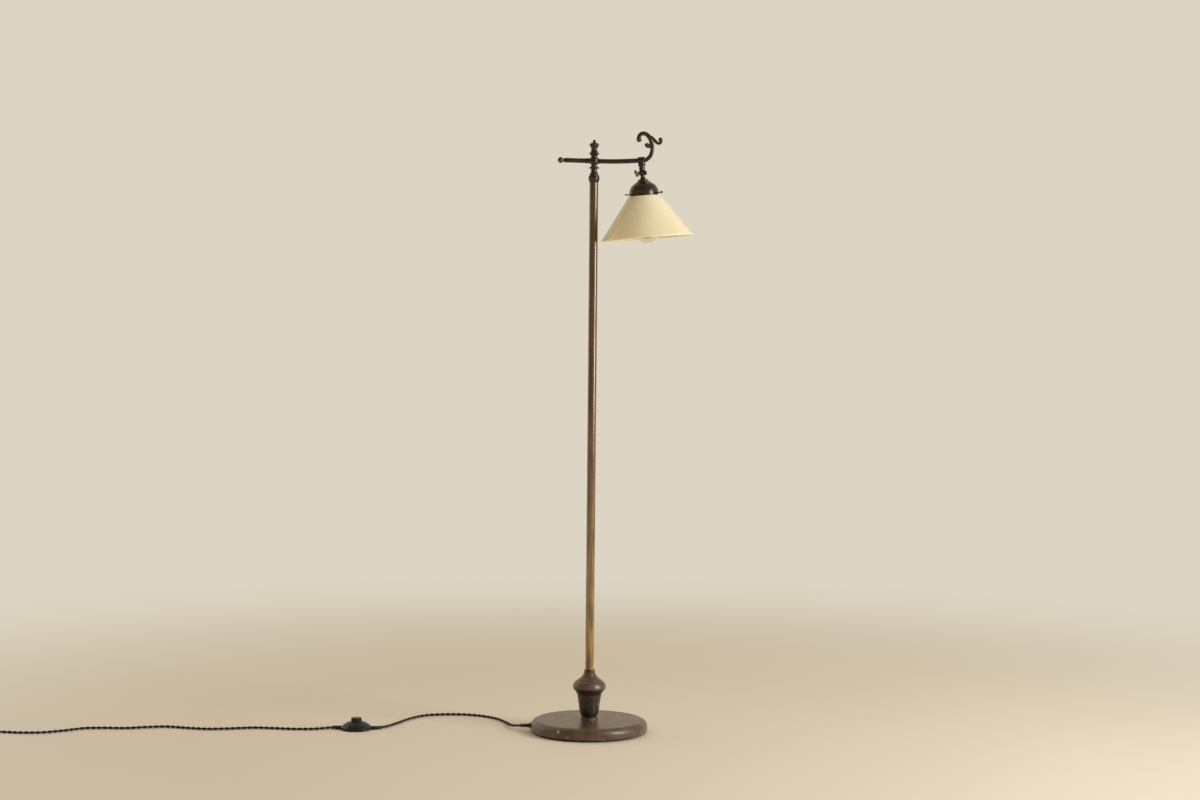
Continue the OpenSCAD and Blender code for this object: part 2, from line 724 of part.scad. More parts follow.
module outlet_nipple() {
    color(steel) hang() pipe(pipe_r, pipe_bore / 2, -nipple_drop, outlet_top);
}

module check_ring() {
    line = concat(arc([check_r - check_t / 2, check_top - check_t / 2], check_t / 2, 90, -90, 8));
    color(bronze) hang() revolve(bored(line, pipe_fit));
}

// ---- Knuckle ----

module at_pivot() hang() translate([0, 0, -pivot_drop]) children();

// Line of the wires below the pivot, from a height beside it to one in the neck
function fitter_wire(high, low) = [[wire_x, 0, -pivot_drop + high], [wire_x, 0, -pivot_drop - barrel_r - 0.8],
    [0, 0, low]];

// Half of the knuckle's barrel, on the +X side of the seam, with its wiring hollow
module barrel_half_solid() {
    xrod(barrel_r, half_gap, barrel_half - 0.8);
    translate([barrel_half - 0.8, 0, 0]) rotate([0, 90, 0])
        cylinder(r1 = barrel_r, r2 = barrel_r - 0.8, h = 0.8);
}

module barrel_half_hollow() xrod(barrel_r - 1.5, 0, barrel_half - 2.4);

module knuckle_upper() {
    color(bronze) difference() {
        union() {
            hang() {
                translate([0, 0, stem_foot + 1.6]) cylinder(r = stem_r, h = stem_top - stem_foot - 1.6);
                translate([0, 0, stem_foot]) cylinder(r1 = stem_r - 1.6, r2 = stem_r, h = 1.6);
            }
            at_pivot() {
                mirror([1, 0, 0]) barrel_half_solid();
                intersection() {
                    translate([-stem_r, -barrel_r + 0.4, 0])
                        cube([stem_r - half_gap, 2 * barrel_r - 0.8, barrel_r + 2]);
                    cylinder(r = stem_r, h = barrel_r + 2);
                }
            }
        }
        at_pivot() xrod(swing_r, -half_gap, 2 * stem_r);
        at_pivot() mirror([1, 0, 0]) barrel_half_hollow();
        at_pivot() xrod(clamp_d / 2 + run_gap, -3 * stem_r, 0);
        hang() translate([0, 0, -nipple_drop - 0.2]) cylinder(r = pipe_fit, h = 2 * nipple_drop);
        hang() translate([0, 0, -nipple_drop - 2.8]) cylinder(r = wire_x + wire_r + 0.4, h = 4);
        at_pivot() translate([-wire_x, 0, 0]) cylinder(r = wire_r + loose_gap, h = pivot_drop);
    }
}

module friction_washer() {
    color("peru") at_pivot() difference() {
        xrod(barrel_r - 0.4, -friction_t / 2, friction_t / 2);
        xrod(barrel_r - 1.5, -friction_t, friction_t);
    }
}

// Screw through the barrel, with an oval thumb disc at its left end
module clamp_screw() {
    neck = max(barrel_half, stem_r) + slide_gap;
    disc_x = neck + 6.6;
    color(brass) at_pivot() {
        xrod(clamp_d / 2, -disc_x, barrel_half + 0.6);
        xrod(barrel_r - 1.1, -neck - 2.6, -neck);
        translate([-disc_x, 0, 0]) rotate([0, -thumb_slant, thumb_turn]) rotate([0, 90, 0])
            linear_extrude(height = thumb_t, center = true)
                polygon([for (a = [0:10:350]) [thumb_h / 2 * cos(a), thumb_w / 2 * sin(a)]]);
    }
}

// Lower half of the knuckle with its neck and the small cap over the fitter
module knuckle_lower() {
    cap = -cap_drop;
    line = concat([[shade_neck_r, -pivot_drop]],
        bend([shade_neck_r, -pivot_drop - 6.6], [shade_neck_r + 0.4, cap + 3.8], [small_cap_r - 0.4, cap + 1.8], 8),
        [[small_cap_r, cap + 1.4], [small_cap_r, cap]]);
    color(bronze) difference() {
        union() {
            hang() revolve(concat([[0, -pivot_drop]], line, [[0, cap]]));
            at_pivot() barrel_half_solid();
        }
        at_pivot() mirror([1, 0, 0]) xrod(swing_r, -half_gap, 2 * stem_r);
        at_pivot() barrel_half_hollow();
        at_pivot() xrod(clamp_d / 2 + run_gap, 0, 3 * stem_r);
        hang() bent_bar(fitter_wire(0, cap + 1.6), wire_r + loose_gap);
        hang() translate([0, 0, cap - over]) cylinder(r = pipe_fit, h = 3.6 + over);
    }
}

module knuckle_nut() {
    x = barrel_half + seat_gap;
    line = concat([[clamp_d / 2 + run_gap, 0], [4.2, 0], [4.7, 0.6]],
        bend([4.7, 1.6], [4.4, 3], [2.2, 3.3], 5), [[0, 3.3], [0, 1], [clamp_d / 2 + run_gap, 1]]);
    color(bronze) at_pivot() translate([x, 0, 0]) rotate([0, 90, 0]) revolve(line);
}

// Wires along the arm, round the corner in the cross collar and down to the knuckle
module lead_in_arm() {
    color(black) {
        arm_curve(pipe_r + 0.6, 0.8 * lead_r) circle(r = lead_r);
        hang() {
            sphere(r = lead_r + 0.7);
            bar([0, 0, 0], [0, 0, -nipple_drop + 0.6], lead_r);
            bar([0, 0, -nipple_drop + 0.9], [-wire_x, 0, -nipple_drop - 2.2], wire_r);
            bar([-wire_x, 0, -nipple_drop - 1.6], [-wire_x, 0, -pivot_drop + clamp_d / 2 + 0.3], wire_r);
        }
    }
}

// ---- Fitter and shade ----

module fitter_nipple() {
    color(steel) hang() pipe(pipe_r, pipe_bore / 2, core_top - 4, -cap_drop + 3.4);
}

module fitter_locknut() {
    z = dome_top - sheet_t - seat_gap;
    color(steel) hang() difference() {
        translate([0, 0, z - 4.2]) cylinder(d = (nut_af - 2) / cos(30), h = 4.2, $fn = 6);
        translate([0, 0, -cap_drop - 20]) cylinder(r = pipe_fit, h = 30);
    }
}

// Spun dome with a ridge, a bead and the band that holds the glass
module fitter_dome() {
    z = dome_top;
    line = concat([[pipe_fit, z]],
        bend([small_cap_r, z], [small_cap_r + 2.4, z - 3.4], [small_cap_r + 5.4, z - 3.6], 5),
        [[small_cap_r + 6.1, z - 4.2]],
        bend([small_cap_r + 6.1, z - 5.2], [band_r - 3.4, z - 9.6], [band_r - 0.8, bead_z + 1], 10),
        arc([band_r - 0.4, bead_z - 0.8], 1.5, 80, -70, 6),
        [[band_r, bead_z - 3], [band_r, band_z]]);
    color(bronze) hang() difference() {
        revolve(sheet(line, sheet_t));
        screw_places() xrod(screw_d / 2 + thread_gap, band_r - 5, band_r + 5);
    }
}

// Three places round the band, two of them at the front
module screw_places() {
    for (a = [-32, -152, 88]) rotate([0, 0, a]) translate([0, 0, screw_z]) children();
}

module thumbscrews() {
    outer = band_r + screw_reach;
    color(black) hang() screw_places() {
        xrod(screw_d / 2, groove_r + loose_gap, outer - screw_head_l);
        xrod(screw_head_d / 2, outer - screw_head_l, outer - 0.5);
        xrod(screw_head_d / 2 - 0.5, outer - 1, outer);
    }
}

module shade_glass() {
    shoulder = band_r + 1.2;
    line = concat([[lip_r, shade_top_z], [lip_r, shade_top_z - 2.2], [groove_r, shade_top_z - 3.6]],
        bend([groove_r, band_z + 1.6], [groove_r, band_z - 0.4], [shoulder, band_z - 0.5], 6),
        bend([shoulder + 0.2, band_z - 0.55], [shoulder + 2, band_z - 0.7], [shoulder + 3.6, band_z - 3.5], 4),
        [[shade_d / 2, rim_z]]);
    color(opal, 0.9) hang() revolve(sheet(line, glass_t));
}

// ---- Socket and bulb ----

module socket_shell() {
    line = concat([[pipe_fit, socket_top]],
        arc([socket_r - 3, socket_top - 3], 3, 90, 0, 5), [[socket_r, socket_z]]);
    color(brass) hang() revolve(sheet(line, socket_wall));
}

// Insulating body that holds the screw shell and the contact
module socket_core() {
    color(black) hang() difference() {
        union() {
            translate([0, 0, socket_z + 0.4]) cylinder(r = core_r, h = core_top - socket_z - 3.4);
            translate([0, 0, core_top - 3]) cylinder(r1 = core_r, r2 = core_r - 3, h = 3);
        }
        translate([0, 0, core_top - 5]) cylinder(r = pipe_fit, h = 5 + over);
        translate([0, 0, socket_z - over])
            cylinder(r = screw_shell_out + seat_gap, h = contact_z - socket_z + over);
    }
}

module socket_screw_shell() {
    color(brass) hang() pipe(screw_shell_out, screw_shell_in, socket_z + 0.6, contact_z - seat_gap);
}

module socket_contact() {
    color(brass) hang() {
        translate([0, 0, contact_z - 0.8]) cylinder(r = 6, h = 0.8 - seat_gap);
        translate([0, 0, bulb_tip_z + seat_gap]) cylinder(r1 = 2.4, r2 = 3.4, h = 1.4);
    }
}

module lead_in_fitter() {
    color(black) hang() {
        bar([0, 0, core_top - 5 + seat_gap], [0, 0, -cap_drop + 3], lead_r);
        bent_bar(fitter_wire(-clamp_d / 2 - 0.6, -cap_drop + 2), wire_r);
    }
}

module bulb_base() {
    z = bulb_tip_z;
    line = [[0, z], [4.4, z], [4.6, z - 1.2], [base_r - 2.6, z - 3.6], [base_r, z - 4.4],
        [base_r, bulb_neck_z + seat_gap], [0, bulb_neck_z + seat_gap]];
    color("silver") hang() revolve(line);
}

module bulb_glass() {
    r = bulb_d / 2;
    centre = bulb_end_z + r;
    line = concat([[base_r - 0.4, bulb_neck_z]],
        bend([base_r - 0.4, bulb_neck_z - 6], [base_r, centre + 36], [r * cos(45), centre + r * sin(45)], 8),
        arc([0, centre], r, 40, -90, 16));
    color("white", 0.3) hang() revolve([for (q = sheet(line, 1)) [max(q.x, 0), q.y]]);
}

// Glass stem and a zigzag cage of filament on six arms
module bulb_filament() {
    $fn = 24;
    top = bulb_neck_z - 22;
    low = bulb_end_z + 10.4;
    high = [for (a = [93:120:333]) [6.5 * cos(a), 6.5 * sin(a), top]];
    deep = [for (a = [33:120:273]) [8.7 * cos(a), 8.7 * sin(a), low]];
    color("gold") hang() {
        translate([0, 0, bulb_neck_z - 16]) cylinder(r1 = 3, r2 = 8, h = 16);
        translate([0, 0, low - 1]) cylinder(r = 1, h = bulb_neck_z - 10 - low);
        for (i = [0:2]) {
            bent_bar([[0, 0, top], high[i], deep[i], [0, 0, low]], 0.6);
            bar(deep[i], high[(i + 2) % 3], 0.6);
        }
    }
}

// ---- Foot switch ----

switch_x = -515;
switch_y = 4;
switch_r = switch_d / 2;
gland_z = 4.2;
gland_r = 3.9;
gland_face = switch_r + 1.6;
button_r = button_d / 2;
flange_r = button_r + 2.4;
flange_z = switch_h - switch_wall - slide_gap - 1.8;
core_h = 2;
spring_z = switch_plate_h + core_h + seat_gap;
spring_top = button_h - 4;
post_y = 20;

module at_switch() translate([switch_x, switch_y, 0]) children();

module switch_plate() {
    line = concat([[0, switch_plate_h], [switch_r - 0.6, switch_plate_h]],
        arc([switch_r - 2.2, 2.3], 1.8, 0, -90, 4), [[switch_r - 9, 0.5], [switch_r - 9.5, 0], [0, 0]]);
    color(black) at_switch() difference() {
        union() {
            revolve(line);
            translate([0, 0, gland_z]) xrod(gland_r, -gland_face, -switch_r + 5);
            translate([0, 0, gland_z]) xrod(gland_r, switch_r - 5, gland_face);
        }
        for (y = [-post_y, post_y]) translate([0, y, -over]) {
            cylinder(r = 1.7, h = switch_plate_h + 2 * over);
            cylinder(r = 3.2, h = 2.2 + over);
        }
    }
}

module switch_cover() {
    z = switch_plate_h + seat_gap;
    hole_r = button_r + loose_gap;
    line = concat([[hole_r, switch_h], [hole_r + 2, switch_h]],
        bend([hole_r + 3, switch_h - 0.1], [switch_r - 8, switch_h - 3], [switch_r - 3, switch_h - 6.4], 8),
        bend([switch_r - 2.4, switch_h - 6.8], [switch_r, switch_h - 8.4], [switch_r, z + 0.8], 5),
        [[switch_r, z]]);
    color(black) at_switch() difference() {
        union() {
            revolve(sheet(line, switch_wall));
            for (y = [-post_y, post_y]) translate([0, y, z]) cylinder(r = 3.6, h = switch_h - z - 3.4);
        }
        translate([0, 0, gland_z]) {
            xrod(gland_r + thread_gap, -2 * switch_r, -switch_r + 8);
            xrod(gland_r + thread_gap, switch_r - 8, 2 * switch_r);
        }
        for (y = [-post_y, post_y]) translate([0, y, 0]) cylinder(r = 1.3, h = switch_h - 5.4);
    }
}

// Contact block with the spring's post and two terminals
module switch_core() {
    color("saddlebrown") at_switch() translate([0, 0, switch_plate_h + seat_gap]) {
        cylinder(r = button_r, h = core_h);
        cylinder(r = 3, h = core_h + 3);
        for (x = [-flange_r - 6.4, flange_r + 0.4]) translate([x, -3, 0]) cube([6, 6, core_h + 1.5]);
        translate([-16, -1.5, 0]) cube([32, 3, core_h - 0.4]);
    }
}

// Return spring of the button
module switch_spring() {
    turns = 5;
    rings = 8 * turns;
    coil = [for (i = [0:rings]) let (a = 360 * i / 8, s = i / rings)
        [5 * cos(a), 5 * sin(a), spring_z + 0.6 + s * (spring_top - spring_z - 1.2)]];
    color(steel) at_switch() swept(coil, [for (i = coil) 0.5], 6, [0, 0, 1]);
}

module switch_screws() {
    color(steel) at_switch() for (y = [-post_y, post_y]) translate([0, y, 0]) {
        translate([0, 0, 0.6]) cylinder(r = 3, h = 1.5);
        translate([0, 0, 0.6]) cylinder(r = 1.25, h = switch_h - 6.6);
    }
}

module switch_button() {
    line = concat([[0, button_h]], bend([button_r - 1.6, button_h - 0.1], [button_r, button_h - 0.2],
            [button_r, button_h - 1.6], 4),
        [[button_r, flange_z + 1.8], [flange_r, flange_z + 1.8], [flange_r, flange_z],
        [6.5, flange_z], [6.5, spring_top + 0.1], [0, spring_top + 0.1]]);
    color(black) at_switch() revolve(line);
}

// ---- Cord, coil and plug ----

coil_x = -1375;
coil_y = -30;
coil_in = 3;
coil_turns = coil_in + 0.5 + 2.75;
layer_z = cord_d / 2 + tie_t + loose_gap;

// Route from the bushing to the switch and from the switch to the coil, lying on the floor
route_a = [[-146, 6, 12], [-160, 38, 7.4], [-177, 86, 4], [-205, 134, 3.6], [-240, 166, 3.4],
    [-285, 181, 3.4], [-335, 180, 3.4], [-378, 162, 3.4], [-408, 118, 3.4], [-430, 66, 3.4],
    [-450, 24, 3.6], [-464, 8, 4.2]];
route_b = [[-566, 4, 4.2], [-604, -10, 3.4], [-648, -14, 3.4], [-694, -7, 3.4], [-742, -3, 3.4],
    [-792, -16, 3.4], [-838, -23, 3.4], [-884, -13, 3.4], [-932, 0, 3.4], [-976, -8, 3.4],
    [-1018, -22, 3.4], [-1066, -22, 3.4], [-1108, -28, 3.4], [-1146, -56, 3.4], [-1186, -80, 3.4],
    [-1232, -86, 3.4], [-1286, -78, 3.4], [-1330, -78, 4]];

module cord_to_switch() {
    start = [-base_d / 2 - bushing_out - seat_gap, 0, bushing_z];
    finish = [switch_x + gland_face + seat_gap, switch_y, gland_z];
    color(cloth) cord(concat([start, start - [cord_d, 0, 0]], smooth(route_a, 3),
        [finish + [cord_d, 0, 0], finish]), 10);
}

module cord_run() {
    start = [switch_x - gland_face - seat_gap, switch_y, gland_z];
    finish = coil_path[0] + [seat_gap, 0, 0];
    color(cloth) cord(concat([start, start - [cord_d, 0, 0]], smooth(route_b, 2),
        [finish + [cord_d, 0, 0], finish]), 10);
}

function ease(s) = let (c = min(max(s, 0), 1)) c * c * (3 - 2 * c);

// Centre of the coil at turn t: in on the lower layer, a climb in the half turn, and out on the upper
function coil_point(t) = let (a = -90 - 360 * t, r = coil_r + coil_pitch * abs(t - coil_in - 0.25))
    [coil_x + r * cos(a), coil_y + r * sin(a), layer_z + coil_step * ease((t - coil_in) / 0.5)];

coil_rings = 24 * coil_turns;
coil_start = coil_point(0);
coil_stop = coil_point(coil_turns);
plug_at = [coil_stop.x, coil_stop.y + 30, plug_d / 2];
coil_path = concat([coil_start + [cord_d, 0, 0]],
    [for (i = [0:coil_rings]) coil_point(i / 24)],
    [coil_stop + [0, 8, 0], [plug_at.x, plug_at.y - 10, plug_at.z], plug_at - [0, seat_gap, 0]]);

// Least distance between the surfaces of turns that lie beside or over each other
coil_gap = min([for (i = [0:coil_rings]) for (j = [i + 12:coil_rings])
    norm(coil_path[i] - coil_path[j])]) - cord_d;
echo(str("Least gap between the coil's turns: ", coil_gap, " mm"));

module cord_coil() {
    color(cloth) cord(coil_path, 6);
}

// Strap round the coil's turns on the side next to the lamp
module coil_tie() {
    inner_turn = coil_r + coil_pitch / 2 - cord_d / 2 - loose_gap;
    inner = sqrt(inner_turn * inner_turn - tie_w * tie_w / 4) - loose_gap;
    outer = coil_r + 2.5 * coil_pitch + cord_d / 2 + loose_gap;
    top = layer_z + coil_step + cord_d / 2 + loose_gap;
    color("dimgray") translate([coil_x, coil_y + tie_w / 2, 0]) rotate([90, 0, 0])
        linear_extrude(height = tie_w) difference() {
            polygon(round_box([inner - tie_t, 0], [outer + tie_t, top + tie_t], 3 + tie_t));
            polygon(round_box([inner, tie_t], [outer, top], 3));
        }
}

// Outline of a box from corner a to corner b with rounded corners
function round_box(a, b, r) = concat(arc([b.x - r, b.y - r], r, 0, 90, 5), arc([a.x + r, b.y - r], r, 90, 180, 5),
    arc([a.x + r, a.y + r], r, 180, 270, 5), arc([b.x - r, a.y + r], r, 270, 360, 5));

module at_plug() translate(plug_at) rotate([-90, 0, 0]) children();

module plug_body() {
    r = plug_d / 2;
    line = concat([[0, plug_l], [r - 1.5, plug_l]], arc([r - 1.5, plug_l - 1.5], 1.5, 90, 0, 4),
        [[r, plug_l - 7]], bend([r - 1, plug_l - 8], [r - 2.6, plug_l - 12], [r - 3, plug_l - 18], 5),
        [[cord_d / 2 + 2.4, 6], [cord_d / 2 + 1.6, 0], [0, 0]]);
    color(black) at_plug() difference() {
        revolve(line);
        blade_places() cube([blade_w + 0.1, blade_t + 0.1, 2 * blade_seat], center = true);
    }
}

blade_w = 6.35;
blade_t = 1.5;
blade_seat = 8;

module blade_places() for (x = [-6.35, 6.35]) translate([x, 0, plug_l]) rotate([0, 0, 90]) children();

module plug_blades() {
    color(brass) at_plug() blade_places() translate([-blade_w / 2, -blade_t / 2, -blade_seat + 0.1])
        cube([blade_w, blade_t, blade_seat + blade_l]);
}

base_felt();
base_weight();
base_cover();
base_washer();
base_nut();
cord_bushing();
tie_pipe();
seat_ring();
vase_body();
vase_cap();
pole_collar();
pole_tube();
pole_coupling();
bearing_ring();
pivot_nipple();
lock_bell();
finial();
lead_in_stand();
hub();
tail_ferrule();
tail_rod();
ball_knob();
arm_tube();
end_collar();
scroll();
outlet_nipple();
check_ring();
knuckle_upper();
friction_washer();
lead_in_arm();
clamp_screw();
knuckle_lower();
knuckle_nut();
fitter_nipple();
fitter_locknut();
fitter_dome();
thumbscrews();
shade_glass();
socket_shell();
socket_core();
socket_screw_shell();
socket_contact();
lead_in_fitter();
bulb_base();
bulb_glass();
bulb_filament();
cord_to_switch();
switch_plate();
switch_cover();
switch_core();
switch_spring();
switch_screws();
switch_button();
cord_run();
cord_coil();
coil_tie();
plug_body();
plug_blades();
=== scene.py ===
import math

import bmesh
import bpy
from mathutils import Matrix, Vector


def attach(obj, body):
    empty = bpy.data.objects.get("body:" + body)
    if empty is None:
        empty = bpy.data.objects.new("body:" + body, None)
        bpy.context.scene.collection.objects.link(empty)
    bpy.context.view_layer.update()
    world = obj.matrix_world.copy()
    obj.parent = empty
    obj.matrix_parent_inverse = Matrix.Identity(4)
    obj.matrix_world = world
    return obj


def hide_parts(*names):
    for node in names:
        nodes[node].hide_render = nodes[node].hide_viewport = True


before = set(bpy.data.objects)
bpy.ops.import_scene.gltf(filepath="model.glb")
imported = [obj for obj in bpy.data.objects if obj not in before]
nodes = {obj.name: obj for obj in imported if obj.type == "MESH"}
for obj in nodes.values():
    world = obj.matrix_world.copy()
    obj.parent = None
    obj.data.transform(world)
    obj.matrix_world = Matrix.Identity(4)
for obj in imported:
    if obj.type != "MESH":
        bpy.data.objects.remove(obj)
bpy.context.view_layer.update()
scene = bpy.context.scene
scene.view_settings.view_transform = "Standard"
mm = 0.001


def newObject(name, data):
    piece = bpy.data.objects.new(name, data)
    scene.collection.objects.link(piece)
    return piece


# The camera stands far back with a long lens, looks a little down and leans a little
cameraSpec = {
    "spot": (0.0177, -5.1596, 0.9742), "lookDown": 2.6507, "lean": 0.53, "lens": 70.5, "sensor": 36, "reach": 50,
}


def placeCamera(spec):
    down, lean = math.radians(spec["lookDown"]), math.radians(spec["lean"])
    ahead = Vector((0, math.cos(down), -math.sin(down)))
    upright = Vector((0, math.sin(down), math.cos(down)))
    across = Vector((1, 0, 0))
    right = math.cos(lean) * across + math.sin(lean) * upright
    top = math.cos(lean) * upright - math.sin(lean) * across
    lens = bpy.data.cameras.new("camera")
    lens.lens, lens.sensor_width, lens.clip_end = spec["lens"], spec["sensor"], spec["reach"]
    camera = newObject("camera", lens)
    camera.matrix_world = Matrix.Translation(spec["spot"]) @ Matrix((right, top, -ahead)).transposed().to_4x4()
    scene.camera = camera


placeCamera(cameraSpec)
print("camera placed")


def put(tree, kind, feeds=None, **settings):
    # Adds a node; a feed is a value for an input, or the output that it is linked to
    node = tree.nodes.new(kind)
    for key, value in settings.items():
        setattr(node, key, value)
    for key, value in (feeds or {}).items():
        socket = node.inputs[key]
        if isinstance(value, bpy.types.NodeSocket):
            tree.links.new(value, socket)
        elif socket.type == "RGBA" and len(value) == 3:
            socket.default_value = (*value, 1)
        else:
            socket.default_value = value
    return node


def output(tree, kind, feeds=None, **settings):
    # Adds a node and gives its first output
    return put(tree, kind, feeds, **settings).outputs[0]


def emptied(owner):
    # The node tree of a material or a world, with nothing in it yet
    owner.use_nodes = True
    owner.node_tree.nodes.clear()
    return owner.node_tree


def outward(mesh):
    # Turns the faces of a closed mesh to the outside
    shape = bmesh.new()
    shape.from_mesh(mesh)
    bmesh.ops.recalc_face_normals(shape, faces=shape.faces)
    if shape.calc_volume(signed=True) < 0:
        bmesh.ops.reverse_faces(shape, faces=shape.faces)
    shape.to_mesh(mesh)
    shape.free()


def shapeObject(name, shape):
    mesh = bpy.data.meshes.new(name)
    shape.to_mesh(mesh)
    shape.free()
    return newObject(name, mesh)


def lineObject(name, points):
    mesh = bpy.data.meshes.new(name)
    mesh.from_pydata([tuple(p) for p in points], [(i, i + 1) for i in range(len(points) - 1)], [])
    return newObject(name, mesh)


def skin(shape, rings):
    # Joins each ring of vertices to the one after it
    for ring, following in zip(rings, rings[1:]):
        for k in range(len(ring)):
            shape.faces.new((ring[k], ring[k - 1], following[k - 1], following[k]))


def settle(piece):
    # Keeps what a piece's modifiers make as its plain mesh
    made = bpy.data.meshes.new_from_object(piece.evaluated_get(bpy.context.evaluated_depsgraph_get()))
    piece.modifiers.clear()
    piece.data = made


def newTree(name, measures, counts):
    # A geometry tree with a line, these numbers and a material as its inputs
    tree = bpy.data.node_groups.new(name, "GeometryNodeTree")
    kinds = [("Geometry", "Geometry"), *((label, "Float") for label in measures),
             *((label, "Int") for label in counts), ("Material", "Material")]
    for label, kind in kinds:
        tree.interface.new_socket(label, in_out="INPUT", socket_type="NodeSocket" + kind)
    tree.interface.new_socket("Geometry", in_out="OUTPUT", socket_type="NodeSocketGeometry")
    return tree, put(tree, "NodeGroupInput").outputs


def closeTree(tree, geometry, material):
    real = output(tree, "GeometryNodeRealizeInstances", {0: geometry})
    soft = output(tree, "GeometryNodeSetShadeSmooth", {0: real})
    painted = output(tree, "GeometryNodeSetMaterial", {"Geometry": soft, "Material": material})
    put(tree, "NodeGroupOutput", {0: painted})
    return tree


def grow(piece, tree, spec, finish):
    # Runs a tree on a piece; its inputs take the values of the same names
    values = {**spec, "Material": finish}
    modifier = piece.modifiers.new("grow", "NODES")
    modifier.node_group = tree
    for item in tree.interface.items_tree:
        if item.in_out == "INPUT" and item.name in values:
            modifier[item.identifier] = values[item.name]
    settle(piece)


def maths(tree, operation, first, second=0.0, third=0.0):
    return output(tree, "ShaderNodeMath", {0: first, 1: second, 2: third}, operation=operation)


def times(tree, first, second):
    return maths(tree, "MULTIPLY", first, second)


def newFinish(name, fixed):
    material = bpy.data.materials.new(name)
    tree = emptied(material)
    shader = put(tree, "ShaderNodeBsdfPrincipled", fixed)
    put(tree, "ShaderNodeOutputMaterial", {"Surface": shader.outputs[0]})
    return material, tree, shader


def link(tree, shader, colour=None, rough=None, normal=None):
    for name, value in (("Base Color", colour), ("Roughness", rough), ("Normal", normal)):
        if value is not None:
            tree.links.new(value, shader.inputs[name])


def place(tree, stretch=(1, 1, 1), shift=(0, 0, 0)):
    spot = put(tree, "ShaderNodeTexCoord").outputs["Object"]
    return output(tree, "ShaderNodeMapping", {"Vector": spot, "Location": shift, "Scale": stretch})


def clouds(tree, size, detail, stretch=(1, 1, 1), shift=(0, 0, 0)):
    feeds = {"Vector": place(tree, stretch, shift), "Scale": 1 / size, "Detail": detail}
    return put(tree, "ShaderNodeTexNoise", feeds).outputs["Fac"]


def step(tree, value, low, high, first=0.0, second=1.0):
    feeds = {"Value": value, "From Min": low, "From Max": high, "To Min": first, "To Max": second}
    return output(tree, "ShaderNodeMapRange", feeds, interpolation_type="SMOOTHSTEP")


def shades(tree, value, stops):
    node = put(tree, "ShaderNodeValToRGB", {"Fac": value})
    ramp = node.color_ramp
    for element, (spot, colour) in zip(ramp.elements, (stops[0], stops[-1])):
        element.position, element.color = spot, (*colour, 1)
    for spot, colour in stops[1:-1]:
        ramp.elements.new(spot).color = (*colour, 1)
    return node.outputs["Color"]


def mixed(tree, share, first, second):
    return put(tree, "ShaderNodeMix", {0: share, 6: first, 7: second}, data_type="RGBA").outputs[2]


def dents(tree, height, depth, under=None):
    feeds = {"Height": height, "Distance": depth, "Strength": 1.0}
    if under:
        feeds["Normal"] = under
    return output(tree, "ShaderNodeBump", feeds)


def edges(tree, radius):
    # One where the surface turns sharply within the radius, nought where it is smooth
    rounded = output(tree, "ShaderNodeBevel", {"Radius": radius}, samples=6)
    plain = put(tree, "ShaderNodeNewGeometry").outputs["Normal"]
    same = put(tree, "ShaderNodeVectorMath", {0: rounded, 1: plain}, operation="DOT_PRODUCT").outputs["Value"]
    slight, full = 0.018, 0.12
    return step(tree, same, 1 - slight, 1 - full)


def chips(tree, spots):
    # Bare spots, each at a point with a radius, with a ragged outline
    total = None
    ragged = maths(tree, "MULTIPLY_ADD", clouds(tree, 1.6 * mm, 3), 1.2, -0.1)
    where = put(tree, "ShaderNodeTexCoord").outputs["Object"]
    for point, radius in spots:
        far = put(tree, "ShaderNodeVectorMath", {0: where, 1: point}, operation="DISTANCE").outputs["Value"]
        one = step(tree, maths(tree, "DIVIDE", far, radius), 1.15, 0.75)
        total = one if total is None else maths(tree, "MAXIMUM", total, one)
    return times(tree, total, step(tree, ragged, 0.3, 0.5))


resinSpec = {"dust": 11 * mm, "dusty": 0.8, "marks": 1.2 * mm, "depth": 0.02 * mm, "edge": 0.5 * mm, "edgeHaze": 0.4}


def mouldedFinish(name, tone, haze, rough, spec=resinSpec):
    # Moulded resin or rubber with a dusty haze and fine handling marks
    material, tree, shader = newFinish(name, {"Specular IOR Level": 0.3, "Coat Weight": 0.12, "Coat Roughness": 0.15})
    dust = clouds(tree, spec["dust"], 6)
    marks = clouds(tree, spec["marks"], 3, stretch=(1, 0.25, 1))
    colour = mixed(tree, step(tree, dust, 0.45, 0.72, 0.0, spec["dusty"]), tone, haze)
    colour = mixed(tree, times(tree, edges(tree, spec["edge"]), spec["edgeHaze"]), colour, haze)
    link(tree, shader, colour, step(tree, dust, 0.3, 0.7, *rough), dents(tree, marks, spec["depth"]))
    return material


# Sizes that the pieces below share with the solids
lamp = {
    "armReach": 103.5 * mm, "armEnd": 1261.08 * mm, "armRise": math.radians(5), "cordThickness": 6.6 * mm,
    "switchSpot": Vector((-515, 4, 0)) * mm, "switchGland": 36.1 * mm, "glandHeight": 4.2 * mm,
}
# Carries a shape that is drawn about the shade's axis, down from the arm's end, to its place in the lamp
hanging = Matrix.Translation((lamp["armReach"], 0, lamp["armEnd"])) @ Matrix.Rotation(-lamp["armRise"], 4, "Y")

clothSpec = {
    "strandRadius": 1.6 * mm, "turnLength": 25 * mm, "ringStep": 1.7 * mm, "sides": 10, "yarn": (0.011, 0.009, 0.007),
    "tracer": (0.34, 0.28, 0.19), "shadow": 0.45, "picks": 26, "pickLength": 1.5 * mm, "tracerLag": 3.5,
    "wear": 9 * mm, "depth": 0.12 * mm,
}


